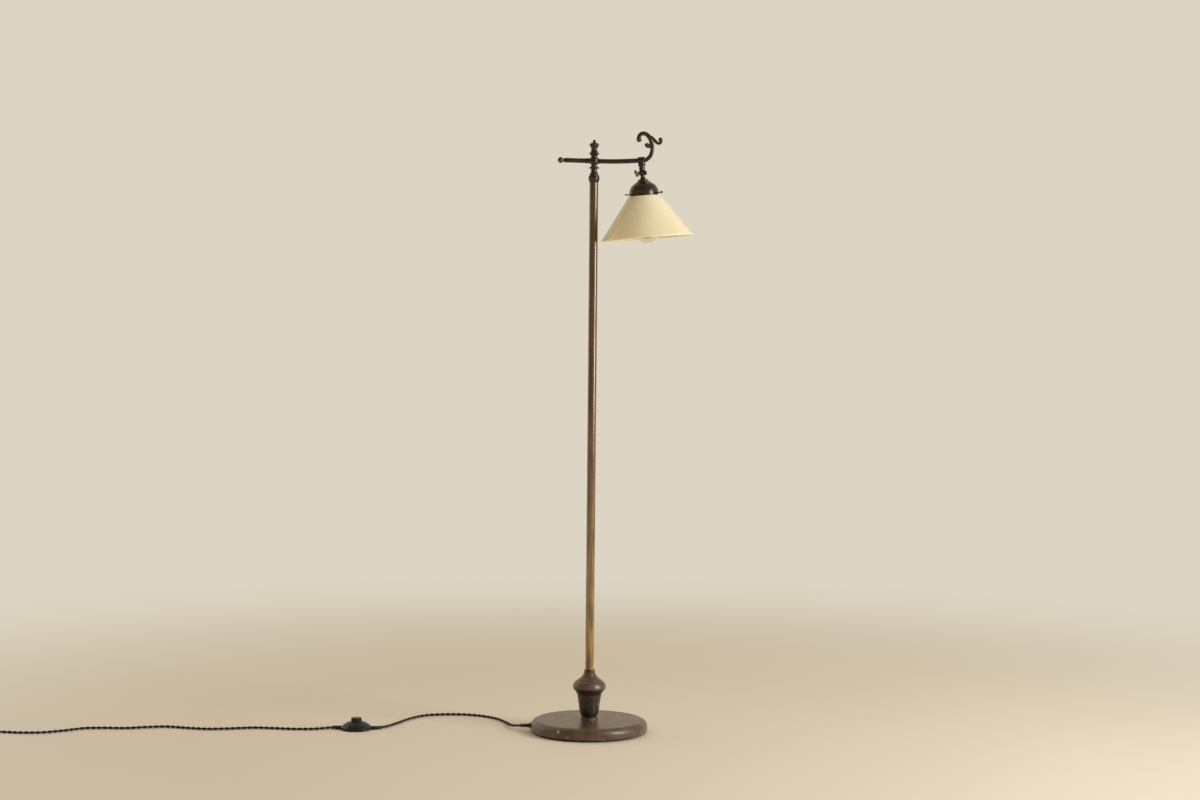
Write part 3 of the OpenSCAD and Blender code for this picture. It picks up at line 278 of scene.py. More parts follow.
def clothFinish(spec):
    # A braided cloth sleeve: yarns cross round each strand, and pale tracer yarns show among them
    sheen = {"Roughness": 0.75, "Sheen Weight": 0.06, "Sheen Roughness": 0.4}
    material, tree, shader = newFinish("braidedCloth", sheen)
    along = put(tree, "ShaderNodeAttribute", attribute_name="along").outputs["Fac"]
    around = put(tree, "ShaderNodeAttribute", attribute_name="around").outputs["Vector"]
    axes = put(tree, "ShaderNodeSeparateXYZ", {0: around}).outputs
    turn = times(tree, maths(tree, "ARCTAN2", axes[1], axes[0]), spec["picks"] / 4)
    run = times(tree, along, math.pi / spec["pickLength"])
    left = maths(tree, "SINE", maths(tree, "ADD", run, turn))
    right = maths(tree, "SINE", maths(tree, "SUBTRACT", run, turn))
    weave = times(tree, left, right)
    tracerPitch = math.pi / spec["pickLength"] / spec["tracerLag"]
    slow = maths(tree, "SINE", maths(tree, "MULTIPLY_ADD", along, tracerPitch, turn))
    fleck = times(tree, step(tree, slow, 0.80, 0.97), step(tree, weave, 0.0, 0.5))
    worn = step(tree, clouds(tree, spec["wear"], 3), 0.42, 0.68, 0.25, 1.0)
    shadow = tuple(spec["shadow"] * c for c in spec["yarn"])
    tone = mixed(tree, step(tree, weave, -0.6, 0.8), shadow, spec["yarn"])
    colour = mixed(tree, times(tree, fleck, worn), tone, spec["tracer"])
    link(tree, shader, colour, normal=dents(tree, weave, spec["depth"]))
    return material


def twistTree():
    # Two strands that turn round a line, straight at both ends
    measures = ["strandRadius", "turnLength", "straightIn", "straightOut", "ringStep"]
    tree, given = newTree("twistedPair", measures, ["sides"])
    route = output(tree, "GeometryNodeMeshToCurve", {0: given["Geometry"]})
    even = output(tree, "GeometryNodeResampleCurve", {"Curve": route, "Length": given["ringStep"]}, mode="LENGTH")
    upright = output(tree, "GeometryNodeSetCurveNormal", {0: even}, mode="Z_UP")
    run = put(tree, "GeometryNodeSplineParameter").outputs["Length"]
    whole = put(tree, "GeometryNodeSplineLength").outputs["Length"]
    late = maths(tree, "MAXIMUM", maths(tree, "SUBTRACT", run, given["straightIn"]), 0.0)
    most = maths(tree, "SUBTRACT", maths(tree, "SUBTRACT", whole, given["straightIn"]), given["straightOut"])
    turns = maths(tree, "DIVIDE", maths(tree, "MINIMUM", late, most), given["turnLength"])
    tilt = times(tree, turns, 2 * math.pi)
    tilted = output(tree, "GeometryNodeSetCurveTilt", {0: upright, "Tilt": tilt})
    line = output(tree, "GeometryNodeStoreNamedAttribute", {"Geometry": tilted, "Name": "along", "Value": run},
                  data_type="FLOAT", domain="POINT")
    radius = given["strandRadius"]
    ring = output(tree, "GeometryNodeCurvePrimitiveCircle", {"Resolution": given["sides"], "Radius": radius})
    spot = output(tree, "GeometryNodeInputPosition")
    unit = output(tree, "ShaderNodeVectorMath", {0: spot}, operation="NORMALIZE")
    marked = output(tree, "GeometryNodeStoreNamedAttribute", {"Geometry": ring, "Name": "around", "Value": unit},
                    data_type="FLOAT_VECTOR", domain="POINT")
    strands = put(tree, "GeometryNodeJoinGeometry")
    for side in (1, -1):
        move = output(tree, "ShaderNodeCombineXYZ", {0: times(tree, radius, side)})
        shifted = output(tree, "GeometryNodeTransform", {"Geometry": marked, "Translation": move})
        tree.links.new(shifted, strands.inputs[0])
    feeds = {"Curve": line, "Profile Curve": strands.outputs[0], "Fill Caps": True}
    return closeTree(tree, output(tree, "GeometryNodeCurveToMesh", feeds), given["Material"])


def spline(a, b, c, d, s):
    return 0.5 * (2 * b + (c - a) * s + (2 * a - 5 * b + 4 * c - d) * s * s + (3 * b - a - 3 * c + d) * s ** 3)


def smooth(points, steps):
    last = len(points) - 1
    made = [spline(points[max(i - 1, 0)], points[i], points[i + 1], points[min(i + 2, last)], j / steps)
            for i in range(last) for j in range(steps)]
    return made + [points[last]]


def asMetres(points):
    return [Vector(p) * mm for p in points]


def lengthOf(path):
    return sum((b - a).length for a, b in zip(path, path[1:]))


# The cord leaves the base on the left, makes a wide bow behind its own line and comes to the switch
leadSpec = {
    "exit": Vector((-131.55, 0, 13.3)) * mm, "steps": 10, "straightIn": 14 * mm, "straightOut": 14 * mm,
    "route": [(-147.4, 1.6, 12.9), (-155.5, 6.3, 12), (-161.5, 13.5, 10.8), (-168.5, 26.5, 8.6), (-175, 44, 6.4),
              (-180.5, 63, 4.8), (-188, 90, 3.8), (-208, 132, 3.4), (-242, 165, 3.4), (-285, 181, 3.4),
              (-335, 180, 3.4), (-378, 162, 3.4), (-408, 118, 3.4), (-430, 66, 3.4), (-450, 24, 3.6),
              (-464, 8, 4.2)],
}
# From the switch it wanders off to the left, and the rest is put away as a coil: it winds in, climbs onto a
# second layer at the crossing and winds out again to the plug
runSpec = {
    "route": [(-566, 4, 4.2), (-604, -10, 3.4), (-648, -14, 3.4), (-694, -7, 3.4), (-742, -3, 3.4),
              (-792, -16, 3.4), (-838, -23, 3.4), (-884, -13, 3.4), (-932, 0, 3.4), (-976, -8, 3.4),
              (-1018, -22, 3.4), (-1066, -22, 3.4), (-1108, -28, 3.4), (-1146, -56, 3.4), (-1186, -80, 3.4),
              (-1232, -86, 3.4), (-1286, -78, 3.4), (-1330, -78, 4)],
    "coilSpot": Vector((-1375, -30, 4.8)) * mm, "coilRadius": 24 * mm, "pitch": 7.4 * mm, "layerStep": 7.4 * mm,
    "turnsIn": 3, "turns": 6.25, "crossing": 0.25, "climbTurns": 0.5, "plugSpot": Vector((-1421.2, 0, 12.2)) * mm,
    "leaveCoil": Vector((0, 8, 0)) * mm, "meetPlug": Vector((0, 10, 0)) * mm,
    "steps": 8, "turnSteps": 48, "tailSteps": 4, "straightIn": 21 * mm, "straightOut": 14 * mm,
}


def coilPoint(spec, turn):
    angle = math.radians(-90 - 360 * turn)
    radius = spec["coilRadius"] + spec["pitch"] * abs(turn - spec["turnsIn"] - spec["crossing"])
    climb = min(max((turn - spec["turnsIn"]) / spec["climbTurns"], 0), 1)
    rise = spec["layerStep"] * climb * climb * (3 - 2 * climb)
    return spec["coilSpot"] + Vector((radius * math.cos(angle), radius * math.sin(angle), rise))


def glandAt(side):
    return lamp["switchSpot"] + Vector((side * lamp["switchGland"], 0, lamp["glandHeight"]))


def leadPath(spec):
    gland, short = glandAt(1), Vector((lamp["cordThickness"], 0, 0))
    route = asMetres(spec["route"])
    return smooth([spec["exit"], spec["exit"] - short, *route, gland + short, gland], spec["steps"])


def runPath(spec):
    gland, short = glandAt(-1), Vector((lamp["cordThickness"], 0, 0))
    route, each = asMetres(spec["route"]), spec["turnSteps"]
    loose = smooth([gland, gland - short, *route, coilPoint(spec, 0) + short], spec["steps"])
    rings = [coilPoint(spec, i / each) for i in range(int(each * spec["turns"]) + 1)]
    last, plug = rings[-1], spec["plugSpot"]
    tail = smooth([rings[-2], last, last + spec["leaveCoil"], plug - spec["meetPlug"], plug], spec["tailSteps"])
    return loose + rings[:-1] + tail[spec["tailSteps"]:]


def makeCord(name, path, tree, cloth, spec):
    cord = lineObject(name, path)
    grow(cord, tree, {**clothSpec, **spec}, cloth)
    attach(cord, "stand")
    return cord


def sleeveTree():
    # A tapered sleeve along a line, with grooves that let it bend
    tree, given = newTree("taperedSleeve", ["wide", "narrow", "groove"], ["grooves", "sides", "rings"])
    route = output(tree, "GeometryNodeMeshToCurve", {0: given["Geometry"]})
    fine = output(tree, "GeometryNodeResampleCurve", {"Curve": route, "Count": given["rings"]})
    share = put(tree, "GeometryNodeSplineParameter").outputs["Factor"]
    taper = output(tree, "ShaderNodeMapRange", {"Value": share, "To Min": given["wide"], "To Max": given["narrow"]})
    wave = maths(tree, "SINE", times(tree, times(tree, share, given["grooves"]), 2 * math.pi))
    cut = times(tree, maths(tree, "POWER", maths(tree, "MAXIMUM", wave, 0.0), 2.0), given["groove"])
    sized = output(tree, "GeometryNodeSetCurveRadius", {"Curve": fine, "Radius": maths(tree, "SUBTRACT", taper, cut)})
    ring = output(tree, "GeometryNodeCurvePrimitiveCircle", {"Resolution": given["sides"], "Radius": 1.0})
    scale = output(tree, "GeometryNodeInputRadius")
    feeds = {"Curve": sized, "Profile Curve": ring, "Scale": scale, "Fill Caps": True}
    return closeTree(tree, output(tree, "GeometryNodeCurveToMesh", feeds), given["Material"])


sleeveSpec = {
    "length": 20 * mm, "wide": 4.15 * mm, "narrow": 3.45 * mm, "groove": 0.35 * mm, "grooves": 4, "sides": 28,
    "rings": 61, "sharp": 50,
}


def makeSleeve(name, path, tree, finish, spec):
    # Follows the first stretch of a path
    points, run = [path[0]], 0.0
    for here, following in zip(path, path[1:]):
        left = spec["length"] - run
        span = (following - here).length
        points.append(here.lerp(following, min(1.0, left / span)))
        run += span
        if run >= spec["length"]:
            break
    sleeve = lineObject(name, points)
    grow(sleeve, tree, spec, finish)
    outward(sleeve.data)
    sleeve.data.set_sharp_from_angle(angle=math.radians(spec["sharp"]))
    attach(sleeve, "stand")
    return sleeve


strapSpec = {
    "low": (23.3, 0.0), "high": (46.1, 15.8), "corner": 3.0, "cornerSteps": 6, "thickness": 1.2, "width": 10.0,
    "edgeIn": 0.5, "edgeShare": 0.6, "sharp": 50, "dark": (0.010, 0.010, 0.011), "light": (0.05, 0.05, 0.053),
    "rib": 0.31 / mm, "fuzz": 0.5 * mm, "depth": 0.15 * mm,
}


def strapFinish(spec):
    material, tree, shader = newFinish("wovenStrap", {"Roughness": 0.85, "Sheen Weight": 0.4, "Sheen Roughness": 0.5})
    rib = put(tree, "ShaderNodeTexWave", {"Vector": place(tree), "Scale": spec["rib"], "Distortion": 0.4},
              bands_direction="Y").outputs["Fac"]
    fuzz = clouds(tree, spec["fuzz"], 3)
    tone = shades(tree, times(tree, rib, fuzz), ((0.0, spec["dark"]), (0.6, spec["light"])))
    link(tree, shader, tone, normal=dents(tree, maths(tree, "ADD", rib, fuzz), spec["depth"]))
    return material


def makeStrap(spec, finish):
    # A flat strap round the coil's turns, with rounded corners and thinner edges
    def corner(x, z, start):
        steps, reach = spec["cornerSteps"], spec["corner"] + spec["thickness"] / 2
        angles = [math.radians(start + 90 * i / steps) for i in range(steps + 1)]
        return [Vector((x + reach * math.cos(a), 0, z + reach * math.sin(a))) for a in angles]

    (x0, z0), (x1, z1), r = spec["low"], spec["high"], spec["corner"]
    z0 += spec["thickness"]
    loop = (corner(x1 - r, z1 - r, 0) + corner(x0 + r, z1 - r, 90) + corner(x0 + r, z0 + r, 180)
            + corner(x1 - r, z0 + r, 270))
    half, thick = spec["width"] / 2, spec["thickness"] / 2
    inner, thin = half - spec["edgeIn"], spec["edgeShare"] * thick
    profile = [(-half, -thin), (-half, thin), (-inner, thick), (inner, thick),
               (half, thin), (half, -thin), (inner, -thick), (-inner, -thick)]
    shape = bmesh.new()
    rings = []
    for i, point in enumerate(loop):
        ahead = (loop[(i + 1) % len(loop)] - loop[i - 1]).normalized()
        out = Vector((ahead.z, 0, -ahead.x))
        rings.append([shape.verts.new((point + out * up + Vector((0, y, 0))) * mm) for y, up in profile])
    skin(shape, rings + rings[:1])
    bmesh.ops.recalc_face_normals(shape, faces=shape.faces)
    shape.transform(Matrix.Translation((runSpec["coilSpot"].x, runSpec["coilSpot"].y, 0)))
    strap = shapeObject("coilStrap", shape)
    strap.data.shade_smooth()
    strap.data.set_sharp_from_angle(angle=math.radians(spec["sharp"]))
    strap.data.materials.append(finish)
    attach(strap, "stand")
    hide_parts("coil_tie")
    return strap


clothMaterial = clothFinish(clothSpec)
pairTree = twistTree()
leadLine, runLine = leadPath(leadSpec), runPath(runSpec)
leadCord = makeCord("leadCord", leadLine, pairTree, clothMaterial, leadSpec)
runCord = makeCord("runCord", runLine, pairTree, clothMaterial, runSpec)
taperedTree = sleeveTree()
rubber = mouldedFinish("blackRubber", (0.014, 0.014, 0.013), (0.05, 0.05, 0.045), (0.45, 0.65))
baseSleeve = makeSleeve("baseSleeve", leadLine, taperedTree, rubber, sleeveSpec)
rightSleeve = makeSleeve("switchSleeveRight", leadLine[::-1], taperedTree, rubber, sleeveSpec)
leftSleeve = makeSleeve("switchSleeveLeft", runLine, taperedTree, rubber, sleeveSpec)
plugSleeve = makeSleeve("plugSleeve", runLine[::-1], taperedTree, rubber, sleeveSpec)
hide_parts("cord_to_switch")
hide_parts("cord_run", "cord_coil")
coilStrap = makeStrap(strapSpec, strapFinish(strapSpec))
print("cords laid:", round(lengthOf(leadLine), 3), "m and", round(lengthOf(runLine), 3), "m")

# A pale floor that fades into an even pale surround, two window-like lights and a dim room; the room's sides are
# colours from its left to its right
stageSpec = {
    "radius": 12.0, "pale": (0.72, 0.66, 0.55), "behind": (0.60, 0.52, 0.39), "floor": (0.88, 0.82, 0.70),
    "fadeFrom": 0.7, "fadeTo": 2.9, "sides": ((0.0, (0.38, 0.27, 0.125)), (0.5, (0.28, 0.235, 0.17)),
                                              (1.0, (0.60, 0.57, 0.53))),
}
lightSpecs = [
    {"name": "window", "spot": (2.75, -1.45, 1.5), "aim": (0, 0, 0.75), "size": (1.1, 2.1), "watts": 68,
     "tint": (1, 0.98, 0.95)},
    {"name": "farWindow", "spot": (-2.6, 1.2, 1.6), "aim": (0, 0, 0.8), "size": (1.7, 2.4), "watts": 7,
     "tint": (1, 0.98, 0.95)},
]


def makeFloor(spec):
    shape = bmesh.new()
    bmesh.ops.create_circle(shape, cap_ends=True, segments=96, radius=spec["radius"])
    floor = shapeObject("floor", shape)
    material = bpy.data.materials.new("paleFloor")
    tree = emptied(material)
    far = put(tree, "ShaderNodeVectorMath", {0: place(tree)}, operation="LENGTH").outputs["Value"]
    matt = output(tree, "ShaderNodeBsdfPrincipled", {"Base Color": spec["floor"], "Roughness": 0.75})
    even = output(tree, "ShaderNodeEmission", {"Color": spec["pale"], "Strength": 1.0})
    fading = step(tree, far, spec["fadeFrom"], spec["fadeTo"])
    fade = output(tree, "ShaderNodeMixShader", {0: fading, 1: matt, 2: even})
    put(tree, "ShaderNodeOutputMaterial", {"Surface": fade})
    floor.data.materials.append(material)


def makeRoom(spec):
    world = bpy.data.worlds.new("room")
    scene.world = world
    tree = emptied(world)
    way = put(tree, "ShaderNodeSeparateXYZ", {0: put(tree, "ShaderNodeTexCoord").outputs["Generated"]}).outputs
    side = shades(tree, step(tree, way[0], -1.0, 1.0), spec["sides"])
    room = mixed(tree, step(tree, way[1], -0.3, 0.5), side, spec["behind"])
    path = put(tree, "ShaderNodeLightPath").outputs
    seen = maths(tree, "MAXIMUM", path["Is Camera Ray"], path["Is Transmission Ray"])
    light = output(tree, "ShaderNodeBackground", {"Color": mixed(tree, seen, room, spec["pale"]), "Strength": 1.0})
    put(tree, "ShaderNodeOutputWorld", {"Surface": light})


def makeLight(spec):
    light = bpy.data.lights.new(spec["name"], "AREA")
    light.shape = "RECTANGLE"
    light.size, light.size_y = spec["size"]
    light.energy, light.color = spec["watts"], spec["tint"]
    spot = Vector(spec["spot"])
    turn = (Vector(spec["aim"]) - spot).to_track_quat("-Z", "Y")
    newObject(spec["name"], light).matrix_world = Matrix.Translation(spot) @ turn.to_matrix().to_4x4()


makeFloor(stageSpec)
makeRoom(stageSpec)
for lightSpec in lightSpecs:
    makeLight(lightSpec)
print("floor, room and lights made")

bronzeSpec = {
    "deep": (0.011, 0.007, 0.004), "body": (0.024, 0.015, 0.008), "warm": (0.060, 0.034, 0.015),
    "rubbed": (0.24, 0.165, 0.085), "patch": 16 * mm, "grain": 0.9 * mm, "edge": 0.7 * mm, "rough": (0.22, 0.38),
    "pit": 0.03 * mm, "ripple": 5 * mm, "rippleDepth": 0.10 * mm,
}


def bronzeFinish(name, spec, metallic=0.5, rubbing=0.6):
    material, tree, shader = newFinish(name, {"Metallic": metallic, "Coat Weight": 0.5, "Coat Roughness": 0.17})
    patches = clouds(tree, spec["patch"], 5)
    grain = clouds(tree, spec["grain"], 3)
    tone = shades(tree, patches, ((0.32, spec["deep"]), (0.5, spec["body"]), (0.7, spec["warm"])))
    broken = step(tree, clouds(tree, 3 * mm, 4), 0.35, 0.6, 0.15, rubbing)
    worn = times(tree, edges(tree, spec["edge"]), broken)
    speck = times(tree, step(tree, grain, 0.68, 0.74), 0.5 * rubbing)
    colour = mixed(tree, maths(tree, "MAXIMUM", worn, speck), tone, spec["rubbed"])
    pits = dents(tree, step(tree, grain, 0.25, 0.6), spec["pit"])
    link(tree, shader, colour, step(tree, patches, 0.3, 0.75, *spec["rough"]),
         dents(tree, clouds(tree, spec["ripple"], 2), spec["rippleDepth"], pits))
    return material


brownSpec = {
    "deep": (0.050, 0.028, 0.015), "body": (0.095, 0.056, 0.030), "warm": (0.140, 0.084, 0.045),
    "bare": (0.50, 0.43, 0.33), "patch": 30 * mm, "blotch": 7 * mm, "grain": 1.1 * mm, "edge": 0.8 * mm,
    "rough": (0.34, 0.5), "pit": 0.03 * mm, "ripple": 9 * mm, "rippleDepth": 0.12 * mm,
    "chips": [((-0.0662, -0.1088, 0.0195), 3.6 * mm), ((0.032, -0.1252, 0.0045), 2.4 * mm),
              ((-0.045, -0.1205, 0.010), 1.6 * mm), ((0.114, -0.060, 0.010), 1.6 * mm),
              ((0.020, 0.1265, 0.014), 2.2 * mm), ((-0.09, 0.0925, 0.009), 2.0 * mm)],
}


def brownFinish(name, spec):
    # Mottled lacquer that has worn at its edges and chipped in places
    material, tree, shader = newFinish(name, {"Metallic": 0.2, "Coat Weight": 0.6, "Coat Roughness": 0.3})
    patches = clouds(tree, spec["patch"], 6)
    blotch = clouds(tree, spec["blotch"], 4, shift=(0.3, 0.1, 0))
    grain = clouds(tree, spec["grain"], 3)
    tone = shades(tree, patches, ((0.3, spec["deep"]), (0.5, spec["body"]), (0.72, spec["warm"])))
    tone = mixed(tree, step(tree, blotch, 0.55, 0.75, 0.0, 0.45), tone, spec["deep"])
    broken = step(tree, clouds(tree, 4 * mm, 4), 0.5, 0.68, 0.0, 0.35)
    worn = times(tree, edges(tree, spec["edge"]), broken)
    bare = maths(tree, "MAXIMUM", maths(tree, "MAXIMUM", worn, chips(tree, spec["chips"])),
                 times(tree, step(tree, grain, 0.72, 0.76), 0.35))
    ripple = dents(tree, clouds(tree, spec["ripple"], 3), spec["rippleDepth"])
    pits = dents(tree, maths(tree, "SUBTRACT", step(tree, grain, 0.3, 0.6), bare), spec["pit"], ripple)
    link(tree, shader, mixed(tree, bare, tone, spec["bare"]), step(tree, blotch, 0.3, 0.75, *spec["rough"]), pits)
    return material


poleSpec = {
    "low": (0.40, 0.25, 0.075), "high": (0.150, 0.080, 0.030), "stain": (0.050, 0.026, 0.011),
    "bright": (0.36, 0.22, 0.09), "heights": (0.12, 0.75), "streak": 7 * mm, "fine": 1.3 * mm, "spot": 2.4 * mm,
    "rough": (0.2, 0.34), "depth": 0.007 * mm,
}


def poleFinish(spec):
    # Brass that has browned in long upright streaks, more yellow near the foot
    material, tree, shader = newFinish("agedBrass", {"Metallic": 0.6, "Coat Weight": 1.0, "Coat Roughness": 0.1})
    height = put(tree, "ShaderNodeSeparateXYZ", {0: place(tree)}).outputs[2]
    tone = mixed(tree, step(tree, height, *spec["heights"]), spec["low"], spec["high"])
    streaks = clouds(tree, spec["streak"], 6, stretch=(1, 1, 0.09))
    fine = clouds(tree, spec["fine"], 4, stretch=(1, 1, 0.05))
    spots = clouds(tree, spec["spot"], 3)
    tone = mixed(tree, step(tree, streaks, 0.42, 0.68, 0.0, 0.75), tone, spec["stain"])
    tone = mixed(tree, step(tree, fine, 0.60, 0.75, 0.0, 0.35), tone, spec["bright"])
    tone = mixed(tree, step(tree, spots, 0.66, 0.74, 0.0, 0.6), tone, spec["stain"])
    link(tree, shader, tone, step(tree, streaks, 0.3, 0.7, *spec["rough"]),
         dents(tree, maths(tree, "ADD", fine, spots), spec["depth"]))
    return material


metalSpec = {"patch": 5 * mm, "edge": 0.5 * mm, "edgeWear": 0.6, "depth": 0.02 * mm}


def metalFinish(name, tone, dull, rough, spec=metalSpec):
    # Plain metal that has dulled in patches and is brighter at its edges
    material, tree, shader = newFinish(name, {"Metallic": 1.0})
    patches = clouds(tree, spec["patch"], 5)
    grain = clouds(tree, spec["patch"] / 8, 3)
    colour = shades(tree, patches, ((0.35, tone), (0.7, dull)))
    worn = times(tree, edges(tree, spec["edge"]), spec["edgeWear"])
    bright = tuple(min(1.0, 1.35 * c + 0.03) for c in tone)
    link(tree, shader, mixed(tree, worn, colour, bright), step(tree, patches, 0.3, 0.7, *rough),
         dents(tree, grain, spec["depth"]))
    return material


ironSpec = {
    "dark": (0.035, 0.035, 0.038), "brown": (0.06, 0.05, 0.045), "rust": (0.16, 0.07, 0.03), "patch": 12 * mm,
    "sand": 0.9 * mm, "rough": (0.6, 0.9), "depth": 0.25 * mm,
}


def ironFinish(spec):
    material, tree, shader = newFinish("castIron", {"Metallic": 0.4})
    rust = clouds(tree, spec["patch"], 6)
    sand = clouds(tree, spec["sand"], 4)
    tone = shades(tree, rust, ((0.4, spec["dark"]), (0.6, spec["brown"]), (0.75, spec["rust"])))
    link(tree, shader, tone, step(tree, rust, 0.3, 0.7, *spec["rough"]), dents(tree, sand, spec["depth"]))
    return material


feltSpec = {
    "dark": (0.012, 0.022, 0.012), "light": (0.045, 0.07, 0.035), "fibre": 0.45 * mm, "mottle": 8 * mm,
    "depth": 0.3 * mm,
}


def feltFinish(spec):
    material, tree, shader = newFinish("greenFelt", {"Roughness": 0.95, "Sheen Weight": 0.5, "Sheen Roughness": 0.6})
    fibres = clouds(tree, spec["fibre"], 5, stretch=(1, 0.4, 1))
    mottle = maths(tree, "ADD", clouds(tree, spec["mottle"], 3), 0.5)
    tone = shades(tree, times(tree, fibres, mottle), ((0.25, spec["dark"]), (0.7, spec["light"])))
    link(tree, shader, tone, normal=dents(tree, fibres, spec["depth"]))
    return material


opalSpec = {
    "body": (0.90, 0.79, 0.52), "pale": (0.93, 0.85, 0.65), "seed": (0.55, 0.42, 0.22), "wisp": 60 * mm,
    "seedSize": 1.4 * mm, "wave": 22 * mm, "depth": 0.25 * mm,
}


def opalFinish(spec):
    # Cased cream glass: glossy and faintly clouded, with a few seeds and slow waves in its surface
    material, tree, shader = newFinish("creamGlass", {
        "Roughness": 0.34, "IOR": 1.55, "Coat Weight": 0.35, "Coat Roughness": 0.12, "Subsurface Weight": 0.4,
        "Subsurface Radius": (1.0, 0.7, 0.3), "Subsurface Scale": 6 * mm})
    wisps = clouds(tree, spec["wisp"], 5, stretch=(1, 1, 0.5))
    seeds = clouds(tree, spec["seedSize"], 2)
    tone = shades(tree, wisps, ((0.35, spec["body"]), (0.65, spec["pale"])))
    tone = mixed(tree, step(tree, seeds, 0.70, 0.74, 0.0, 0.25), tone, spec["seed"])
    link(tree, shader, tone, normal=dents(tree, clouds(tree, spec["wave"], 2), spec["depth"]))
    return material


clearSpec = {"tint": (0.98, 0.94, 0.84), "smear": 9 * mm, "wave": 25 * mm, "depth": 0.05 * mm}


def clearFinish(spec):
    material, tree, shader = newFinish("clearGlass", {
        "Base Color": spec["tint"], "Transmission Weight": 1.0, "IOR": 1.5})
    link(tree, shader, rough=step(tree, clouds(tree, spec["smear"], 4), 0.55, 0.8, 0.0, 0.06),
         normal=dents(tree, clouds(tree, spec["wave"], 1), spec["depth"]))
    return material


fibreSpec = {"dark": (0.12, 0.055, 0.02), "light": (0.27, 0.14, 0.06), "strand": 0.8 * mm, "depth": 0.08 * mm}


def fibreFinish(spec):
    material, tree, shader = newFinish("pressedFibre", {"Roughness": 0.8})
    strands = clouds(tree, spec["strand"], 5, stretch=(1, 0.2, 1))
    tone = shades(tree, strands, ((0.35, spec["dark"]), (0.65, spec["light"])))
    link(tree, shader, tone, normal=dents(tree, strands, spec["depth"]))
    return material


filamentSpec = {"dark": (0.10, 0.065, 0.03), "light": (0.30, 0.19, 0.08), "grain": 0.6 * mm, "rough": (0.3, 0.55)}


def filamentFinish(spec):
    material, tree, shader = newFinish("filament", {"Metallic": 0.7})
    grain = clouds(tree, spec["grain"], 3)
    tone = shades(tree, grain, ((0.35, spec["dark"]), (0.65, spec["light"])))
    link(tree, shader, tone, step(tree, grain, 0.3, 0.7, *spec["rough"]))
    return material


def turnedTree():
    # Turns a closed outline of [radius, 0, height] points about Z, with a slow unevenness if asked
    tree, given = newTree("turnedOutline", ["unevenness"], ["segments"])
    size = put(tree, "GeometryNodeAttributeDomainSize", {0: given["Geometry"]}, component="MESH").outputs
    count = size["Point Count"]
    rows, whole = maths(tree, "SUBTRACT", count, 1.0), given["segments"]
    grid = output(tree, "GeometryNodeMeshGrid", {
        "Size X": rows, "Size Y": whole, "Vertices X": count, "Vertices Y": maths(tree, "ADD", whole, 1.0)})
    spot = output(tree, "GeometryNodeInputPosition")
    cell = put(tree, "ShaderNodeSeparateXYZ", {0: spot}).outputs
    row = maths(tree, "ROUND", maths(tree, "MULTIPLY_ADD", rows, 0.5, cell[0]))
    turn = maths(tree, "DIVIDE", maths(tree, "ROUND", maths(tree, "MULTIPLY_ADD", whole, 0.5, cell[1])), whole)
    angle = times(tree, turn, 2 * math.pi)
    x, y = maths(tree, "COSINE", angle), maths(tree, "SINE", angle)
    feeds = {"Geometry": given["Geometry"], "Value": spot, "Index": row}
    point = output(tree, "GeometryNodeSampleIndex", feeds, data_type="FLOAT_VECTOR", domain="POINT")
    line = put(tree, "ShaderNodeSeparateXYZ", {0: point}).outputs
    around = output(tree, "ShaderNodeCombineXYZ", {0: x, 1: y, 2: times(tree, line[2], 12.0)})
    slow = put(tree, "ShaderNodeTexNoise", {"Vector": around, "Scale": 1.3, "Detail": 1.0}).outputs["Fac"]
    sway = maths(tree, "MULTIPLY_ADD", maths(tree, "SUBTRACT", slow, 0.5), given["unevenness"], 1.0)
    wide = times(tree, line[0], sway)
    feeds = {0: times(tree, wide, x), 1: times(tree, wide, y), 2: line[2]}
    moved = output(tree, "ShaderNodeCombineXYZ", feeds)
    bent = output(tree, "GeometryNodeSetPosition", {"Geometry": grid, "Position": moved})
    closed = output(tree, "GeometryNodeMergeByDistance", {"Geometry": bent, "Distance": 0.002 * mm})
    return closeTree(tree, closed, given["Material"])


def bend(a, b, c, steps):
    shares = [i / steps for i in range(steps + 1)]
    return [(1 - s) ** 2 * Vector(a) + 2 * s * (1 - s) * Vector(b) + s * s * Vector(c) for s in shares]


def walled(line, thick):
    # The closed outline of a wall on the right-hand side of a line of (radius, height), with round ends
    capSteps = 8

    def ahead(i):
        return (line[min(i + 1, len(line) - 1)] - line[max(i - 1, 0)]).normalized()

    def cap(start, finish, way):
        middle, reach = (start + finish) / 2, (start - finish) / 2
        turns = [math.pi * i / capSteps for i in range(1, capSteps)]
        return [middle + reach * math.cos(t) + way * thick / 2 * math.sin(t) for t in turns]

    inner = [p + thick * Vector((ahead(i).y, -ahead(i).x)) for i, p in enumerate(line)]
    end, start = cap(line[-1], inner[-1], ahead(len(line) - 1)), cap(inner[0], line[0], -ahead(0))
    return line + end + inner[::-1] + start + [line[0]]


def turnedPiece(name, outline, tree, spec, finish, standing):
    piece = lineObject(name, [Vector((p[0], 0, p[1])) * mm for p in outline])
    grow(piece, tree, {"unevenness": 0.0, **spec}, finish)
    outward(piece.data)
    piece.data.transform(standing)
    piece.data.set_sharp_from_angle(angle=math.radians(40))
    return piece


# The glass cone: a lip that sits in the band, a soft shoulder, a straight flare and a fire-polished rim; points
# are (radius, height) and each curve is drawn by three of them
shadeSpec = {
    "neck": [(28.5, -66.85), (28.5, -69.05), (27.2, -70.45)], "rim": (101.5, -169.75), "glass": 3.0,
    "curl": [(27.2, -75.45), (27.2, -77.45), (32.8, -77.55)], "brow": [(33.0, -77.6), (34.8, -77.75), (36.4, -80.55)],
    "segments": 192, "curlSteps": 10, "flareSteps": 24, "unevenness": 0.006,
}


